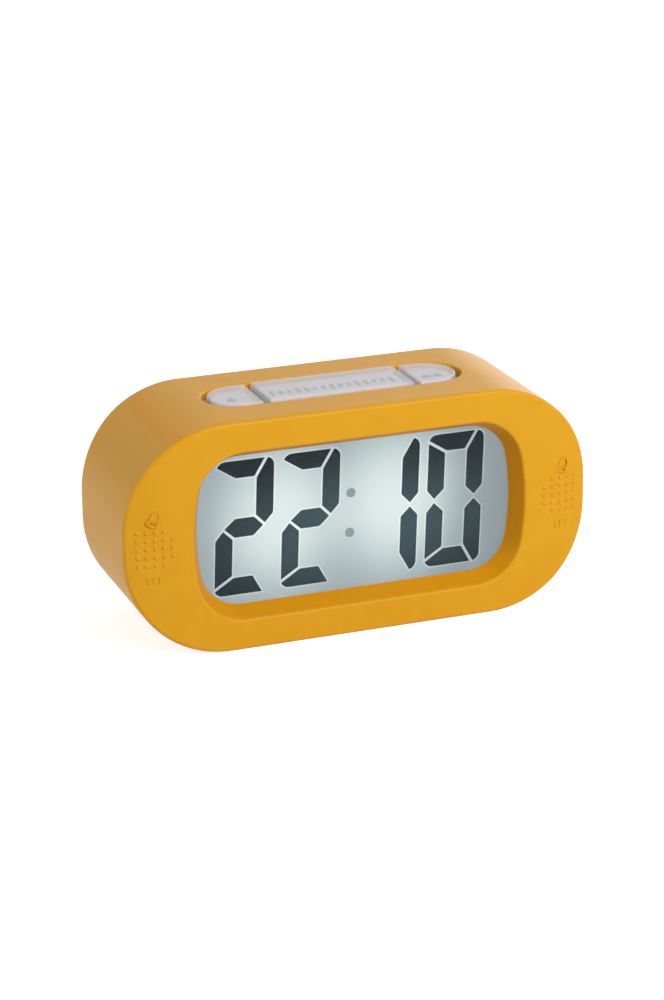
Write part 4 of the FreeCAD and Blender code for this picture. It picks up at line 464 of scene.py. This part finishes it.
def front_outlines(node):
    """The outline of each flat cell of a node, as (x, z) points in order from the front."""
    mesh = bmesh.new()
    mesh.from_mesh(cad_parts[node].data)
    bmesh.ops.remove_doubles(mesh, verts=mesh.verts, dist=0.001 * MM)
    facing = {face for face in mesh.faces if face.normal.y < -0.9}
    onward = {}
    for face in facing:
        for corner in face.loops:
            if sum(other in facing for other in corner.edge.link_faces) == 1:
                onward[corner.vert] = corner.link_loop_next.vert
    outlines = []
    while onward:
        start = next(iter(onward))
        outline, vert = [], start
        while vert in onward:
            outline.append((vert.co.x, vert.co.z))
            vert = onward.pop(vert)
        outlines.append(outline)
    mesh.free()
    return sorted(outlines)


def grown(outline, width):
    """A convex outline moved outward by a width, with blunted tips."""
    blunt = 1.6                                 # the longest mitre, in widths of its two sides
    count = len(outline)
    points = [Vector(point) for point in outline]
    area = sum(points[n].x * points[n - 1].y - points[n - 1].x * points[n].y
               for n in range(count))
    side = 1.0 if area < 0 else -1.0
    moved = []
    for n in range(count):
        before = (points[n] - points[n - 1]).normalized()
        after = (points[(n + 1) % count] - points[n]).normalized()
        outward = [side * Vector((run.y, -run.x)) for run in (before, after)]
        mitre = outward[0] + outward[1]
        reach = min(2.0 / mitre.length_squared, blunt) if mitre.length > 0.1 else 1.0
        moved.append(points[n] + mitre * reach * width)
    return moved


def lathe(mesh, profile, start, side, centre, steps=48):
    """Turns (distance, radius, material) points about X, from a start to one side."""
    rings = []
    for distance, radius, _material in profile:
        x = start + side * distance
        if radius == 0.0:
            rings.append([mesh.verts.new((x, centre.y, centre.z))])
            continue
        angles = [2 * math.pi * n / steps for n in range(steps)]
        rings.append([mesh.verts.new((x, centre.y + radius * math.cos(angle),
                                      centre.z + radius * math.sin(angle)))
                      for angle in angles])
    for near, far, point in zip(rings, rings[1:], profile[1:]):
        for n in range(steps):
            after = (n + 1) % steps
            if len(near) == 1:
                face = mesh.faces.new((near[0], far[n], far[after]))
            elif len(far) == 1:
                face = mesh.faces.new((near[n], near[after], far[0]))
            else:
                face = mesh.faces.new((near[n], near[after], far[after], far[n]))
            face.material_index = point[2]
            face.smooth = True


# ---------------------------------------------------------------- operators

class CLOCK_OT_sleeve(bpy.types.Operator):
    """Finish the silicone sleeve"""

    bl_idname = "clock.sleeve"
    bl_label = "Sleeve"

    def execute(self, context):
        colours, _sizes, _studio = settings()
        wear(silicone(colours), "silicone_sleeve")
        return {"FINISHED"}


class CLOCK_OT_display(bpy.types.Operator):
    """Finish the lens, glass, segments and light plate"""

    bl_idname = "clock.display"
    bl_label = "Display"

    def execute(self, context):
        colours, sizes, _studio = settings()
        wear(clear_sheet("clear_lens", refraction=1.15), "display_lens")
        wear(clear_sheet("display_glass", refraction=1.06),
             "lcd_front_glass", "lcd_rear_glass")
        wear(lit("dark_cells", colours.ink, colours.ink_spot), "lcd_segments")
        wear(lit("colon_cells", colours.pale_ink, shaded(colours.pale_ink, 1.1)),
             "lcd_colon")
        wear(lit("display_glow", colours.glow, colours.glow_spot, colours.glow_edge),
             "diffuser_plate")
        wear(moulded("display_frame", colours.white_plastic, 0.45), "lcd_holder")
        wear(moulded("foam_tape", (0.02, 0.02, 0.02), 0.8), "lens_tape")
        wear(moulded("conductive_strip", (0.55, 0.22, 0.22), 0.6), "zebra_strip")
        wear(moulded("lamp_resin", (0.75, 0.75, 0.62), 0.25), "backlight_leds")
        self.painted_halos(colours, sizes)
        return {"FINISHED"}

    def painted_halos(self, colours, sizes):
        """A painted glow halo round each dark cell, as a thin glowing plate behind it."""
        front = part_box("lcd_segments")[1].y
        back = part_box("lcd_rear_glass")[0].y
        slack = (back - front) / 8
        mesh = bmesh.new()
        for outline in front_outlines("lcd_segments"):
            rim = grown(outline, sizes.painted_halo_width)
            plate(mesh, [(point.x, back - slack, point.y) for point in rim],
                  [(point.x, front + slack, point.y) for point in rim])
        # Painted glow halo, dimmer towards the display's ends.
        ends = shaded(colours.painted_halo, 0.8)
        finish = lit("cell_fringe", colours.painted_halo, colours.painted_halo_spot, ends)
        finish_mesh("cell_fringes", mesh, "case", [finish])


class CLOCK_OT_keys(bpy.types.Operator):
    """Finish the clear caps and white key bodies, and print their marks"""

    bl_idname = "clock.keys"
    bl_label = "Keys"

    def execute(self, context):
        colours, sizes, _studio = settings()
        wear(clear_cap(colours), "snooze_cap", "hour_cap", "minute_cap")
        wear(moulded("key_white", colours.white_plastic, 0.42),
             "snooze_carrier", "hour_carrier", "minute_carrier",
             "left_pad_key", "right_pad_key")
        wear(moulded("switch_black", (0.03, 0.03, 0.03), 0.4), "key_switches",
             "pad_switches", "snooze_plunger", "hour_plunger", "minute_plunger",
             "left_pad_plunger", "right_pad_plunger")
        ink = moulded("key_ink", colours.key_ink, 0.5)
        for word in ("snooze", "hour", "minute"):
            low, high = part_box(f"{word}_carrier")
            middle = (low.x + high.x) / 2
            mesh = bmesh.new()
            for outline in self.marks(word, middle, sizes):
                printed(mesh, outline, high.z + sizes.ink_depth, sizes.ink_thickness)
            finish_mesh(f"{word}_marks", mesh, f"{word}_key", [ink])
        return {"FINISHED"}

    def marks(self, word, middle, sizes):
        """The outlines printed on one key: a row of bars, or one or two triangles."""
        if word == "snooze":
            shortest = 0.42                     # as a share of the longest bar
            for step in range(-7, 8):
                share = shortest + (1 - shortest) * abs(math.cos(step * 0.9))
                yield pill_outline(middle + step * sizes.bar_pitch, 0.0, sizes.bar_width,
                                   sizes.bar_height * share)
            return
        count = 1 if word == "hour" else 2
        pitch = 1.3 * sizes.triangle
        for step in range(count):
            shift = (step - (count - 1) / 2) * pitch
            yield triangle_outline(middle + shift, 0.0, sizes.triangle)


class CLOCK_OT_case(bpy.types.Operator):
    """Finish the case halves, battery door, screws and sounder"""

    bl_idname = "clock.case"
    bl_label = "Case"

    def execute(self, context):
        colours, _sizes, _studio = settings()
        wear(moulded("case_plastic", colours.case_plastic, 0.5, texture=0.45, depth=0.03),
             "front_case", "rear_case", "battery_door")
        wear(metal("plated_screw", (0.62, 0.61, 0.58), 0.32),
             "case_screws", "pcb_screws", "key_pcb_screws", "door_screw")
        wear(metal("sounder_brass", (0.72, 0.52, 0.20), 0.30), "piezo_disc")
        wear(moulded("sounder_ceramic", (0.62, 0.61, 0.55), 0.5), "piezo_ceramic")
        return {"FINISHED"}


class CLOCK_OT_cells(bpy.types.Operator):
    """Build the wrapped cells and finish their springs and contacts"""

    bl_idname = "clock.cells"
    bl_label = "Cells"

    def execute(self, context):
        wear(metal("nickel_plate", (0.66, 0.65, 0.62), 0.28),
             "battery_springs", "battery_contacts")
        jacket = Finish("cell_jacket", (0.05, 0.06, 0.08), 0.3, Coat_Weight=0.5)
        jacket.mottle((0.05, 0.06, 0.08), (0.065, 0.075, 0.10), 6 * MM)
        band = Finish("cell_band", (0.62, 0.28, 0.08), 0.32, Metallic=0.6)
        band.mottle((0.62, 0.28, 0.08), (0.56, 0.24, 0.06), 3 * MM)
        for wrap in (jacket, band):
            wrap.grain(0.5 * MM, 0.006 * MM, 0.3)
        steel = metal("cell_steel", (0.70, 0.69, 0.67), 0.22)
        for word, nub_side in (("top", 1), ("middle", -1), ("bottom", 1)):
            node = f"battery_cell_{word}"
            low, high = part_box(node)
            flat_end = low.x if nub_side > 0 else high.x
            mesh = bmesh.new()
            lathe(mesh, self.profile(high.x - low.x, (high.z - low.z) / 2),
                  flat_end, nub_side, (low + high) / 2)
            piece = finish_mesh(f"cell_{word}", mesh, "case",
                                [jacket, band, steel])
            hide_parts(node)
        return {"FINISHED"}

    def profile(self, length, radius):
        """A cell from its flat end to its nub, as (distance, radius, material) points."""
        jacket, band, steel = 0, 1, 2
        nub_height = 0.8 * MM
        nub_foot, nub_radius, nub_top = 1.9 * MM, 1.85 * MM, 1.6 * MM
        fold = radius - 0.35 * MM                   # where the wrap turns over each end
        body = length - nub_height
        seam = 0.72 * body                          # where the jacket gives way to the band
        shoulder = body - 0.3 * MM                  # the sunk steel face round the nub
        return [(0.0, 0.0, steel), (0.0, radius - 1.3 * MM, steel),
                (0.15 * MM, radius - 1.1 * MM, steel), (0.02 * MM, fold, jacket),
                (0.4 * MM, radius, jacket), (seam, radius, jacket),
                (seam + 0.03 * MM, radius, band), (body - 0.5 * MM, radius, band),
                (body - 0.05 * MM, fold, band), (shoulder, radius - 1.2 * MM, steel),
                (shoulder, 2.4 * MM, steel), (shoulder, nub_foot, steel),
                (length - 0.15 * MM, nub_radius, steel), (length, nub_top, steel),
                (length, 0.0, steel)]


class CLOCK_OT_inside(bpy.types.Operator):
    """Finish the boards, their parts and the leads"""

    bl_idname = "clock.inside"
    bl_label = "Inside"

    def execute(self, context):
        wear(circuit_board("board_green"), "main_pcb", "key_pcb")
        wear(moulded("black_resin", (0.025, 0.025, 0.028), 0.35), "controller_chip",
             "smd_parts")
        wear(metal("bright_can", (0.70, 0.70, 0.72), 0.25), "clock_crystal",
             "electrolytic_capacitor")
        wear(moulded("red_insulation", (0.55, 0.03, 0.02), 0.4), "red_wire")
        wear(moulded("black_insulation", (0.03, 0.03, 0.03), 0.4), "black_wire",
             "sounder_wires", "key_ribbon")
        return {"FINISHED"}


def area_lamp(name, place, aim, width, height, power):
    """A rectangular soft lamp that faces a point."""
    lamp = bpy.data.lights.new(name, "AREA")
    lamp.shape = "RECTANGLE"
    lamp.size, lamp.size_y = width, height
    lamp.energy = power
    holder = bpy.data.objects.new(name, lamp)
    bpy.context.scene.collection.objects.link(holder)
    holder.location = place
    holder.rotation_mode = "QUATERNION"
    holder.rotation_quaternion = (Vector(aim) - Vector(place)).to_track_quat("-Z", "Y")


def white_for_seen_rays(tree, strength):
    """1 for camera, glossy and transmission rays, and the given strength for others."""
    path = tree.nodes.new("ShaderNodeLightPath")
    total = path.outputs["Is Camera Ray"]
    for ray in ("Is Glossy Ray", "Is Transmission Ray"):
        add = tree.nodes.new("ShaderNodeMath")
        add.operation = "MAXIMUM"
        tree.links.new(total, add.inputs[0])
        tree.links.new(path.outputs[ray], add.inputs[1])
        total = add.outputs["Value"]
    span = tree.nodes.new("ShaderNodeMapRange")
    span.inputs["To Min"].default_value = strength
    span.inputs["To Max"].default_value = 1.0
    tree.links.new(total, span.inputs["Value"])
    return span.outputs["Result"]


class CLOCK_OT_stage(bpy.types.Operator):
    """Set up the floor, the room light, the lamps and the camera"""

    bl_idname = "clock.stage"
    bl_label = "Stage"

    def execute(self, context):
        _colours, _sizes, studio = settings()
        scene = context.scene
        scene.view_settings.view_transform = "Standard"
        self.floor()
        world = bpy.data.worlds.new("room")
        world.use_nodes = True
        scene.world = world
        background = world.node_tree.nodes["Background"]
        background.inputs["Color"].default_value = (1.0, 1.0, 1.0, 1.0)
        world.node_tree.links.new(white_for_seen_rays(world.node_tree, studio.world_level),
                                  background.inputs["Strength"])
        aim = (CAD_BOX[0] + CAD_BOX[1]) / 2
        for side, (place, width, height) in LAMPS.items():
            area_lamp(f"{side}_lamp", place, aim, width, height,
                      getattr(studio, f"{side}_power"))
        self.camera(scene, studio)
        return {"FINISHED"}

    def floor(self):
        """A wide pale floor that keeps a soft shadow under the clock."""
        half_width = 3.0
        mesh = bmesh.new()
        corners = ((-1, -1), (1, -1), (1, 1), (-1, 1))
        mesh.faces.new([mesh.verts.new((x * half_width, y * half_width, 0.0))
                        for x, y in corners])
        data = bpy.data.meshes.new("floor")
        mesh.to_mesh(data)
        mesh.free()
        floor = bpy.data.objects.new("floor", data)
        bpy.context.scene.collection.objects.link(floor)
        finish = Finish("pale_floor", (0.80, 0.80, 0.80), 0.8, Specular_IOR_Level=0.0)
        finish.set("Emission Color", (1.0, 1.0, 1.0, 1.0))
        lift = 0.74                             # what a seen ray adds, to bring it to white
        seen = white_for_seen_rays(finish.tree, 0.0)
        finish.link(finish.span(seen, 0.0, 1.0, 0.0, lift),
                    finish.shader.inputs["Emission Strength"])
        data.materials.append(finish.material)

    def camera(self, scene, studio):
        """The camera, turned about a point in the clock and slid a little off it."""
        yaw, pitch, roll = studio.yaw, studio.pitch, studio.roll
        ahead = Vector((math.sin(yaw) * math.cos(pitch), math.cos(yaw) * math.cos(pitch),
                        -math.sin(pitch)))
        level = Vector((math.cos(yaw), -math.sin(yaw), 0.0))
        upright = level.cross(ahead)
        right = level * math.cos(roll) + upright * math.sin(roll)
        up = upright * math.cos(roll) - level * math.sin(roll)
        turn = Matrix((right, up, -ahead)).transposed()
        pivot = Vector((0.0, -3.7 * MM, 33.9 * MM))
        place = (pivot - ahead * studio.distance - right * studio.shift_left
                 - up * studio.shift_down)
        data = bpy.data.cameras.new("camera")
        data.lens = studio.lens
        camera = bpy.data.objects.new("camera", data)
        scene.collection.objects.link(camera)
        camera.matrix_world = Matrix.Translation(place) @ turn.to_4x4()
        scene.camera = camera


OPERATORS = (CLOCK_OT_sleeve, CLOCK_OT_display, CLOCK_OT_keys, CLOCK_OT_case,
             CLOCK_OT_cells, CLOCK_OT_inside, CLOCK_OT_stage)


class CLOCK_PT_panel(bpy.types.Panel):
    """Lists the clock's groups of pieces and their settings"""

    bl_idname = "CLOCK_PT_panel"
    bl_label = "Alarm clock"
    bl_space_type = "VIEW_3D"
    bl_region_type = "UI"
    bl_category = "Clock"

    def draw(self, context):
        for operator in OPERATORS:
            self.layout.operator(operator.bl_idname)
        for group in settings():
            column = self.layout.column()
            for name in group.bl_rna.properties.keys():
                if name not in ("rna_type", "name"):
                    column.prop(group, name)


CLASSES = (ClockColours, ClockSizes, ClockStudio, *OPERATORS, CLOCK_PT_panel)


def register():
    """Registers the classes and hangs their settings on the scene."""
    for item in CLASSES:
        bpy.utils.register_class(item)
    bpy.types.Scene.clock_colours = bpy.props.PointerProperty(type=ClockColours)
    bpy.types.Scene.clock_sizes = bpy.props.PointerProperty(type=ClockSizes)
    bpy.types.Scene.clock_studio = bpy.props.PointerProperty(type=ClockStudio)


def unregister():
    """Takes the settings and the classes away again."""
    del bpy.types.Scene.clock_studio
    del bpy.types.Scene.clock_sizes
    del bpy.types.Scene.clock_colours
    for item in reversed(CLASSES):
        bpy.utils.unregister_class(item)


def main():
    register()
    for operator in OPERATORS:
        group, name = operator.bl_idname.split(".")
        getattr(getattr(bpy.ops, group), name)()


if __name__ == "__main__":
    main()
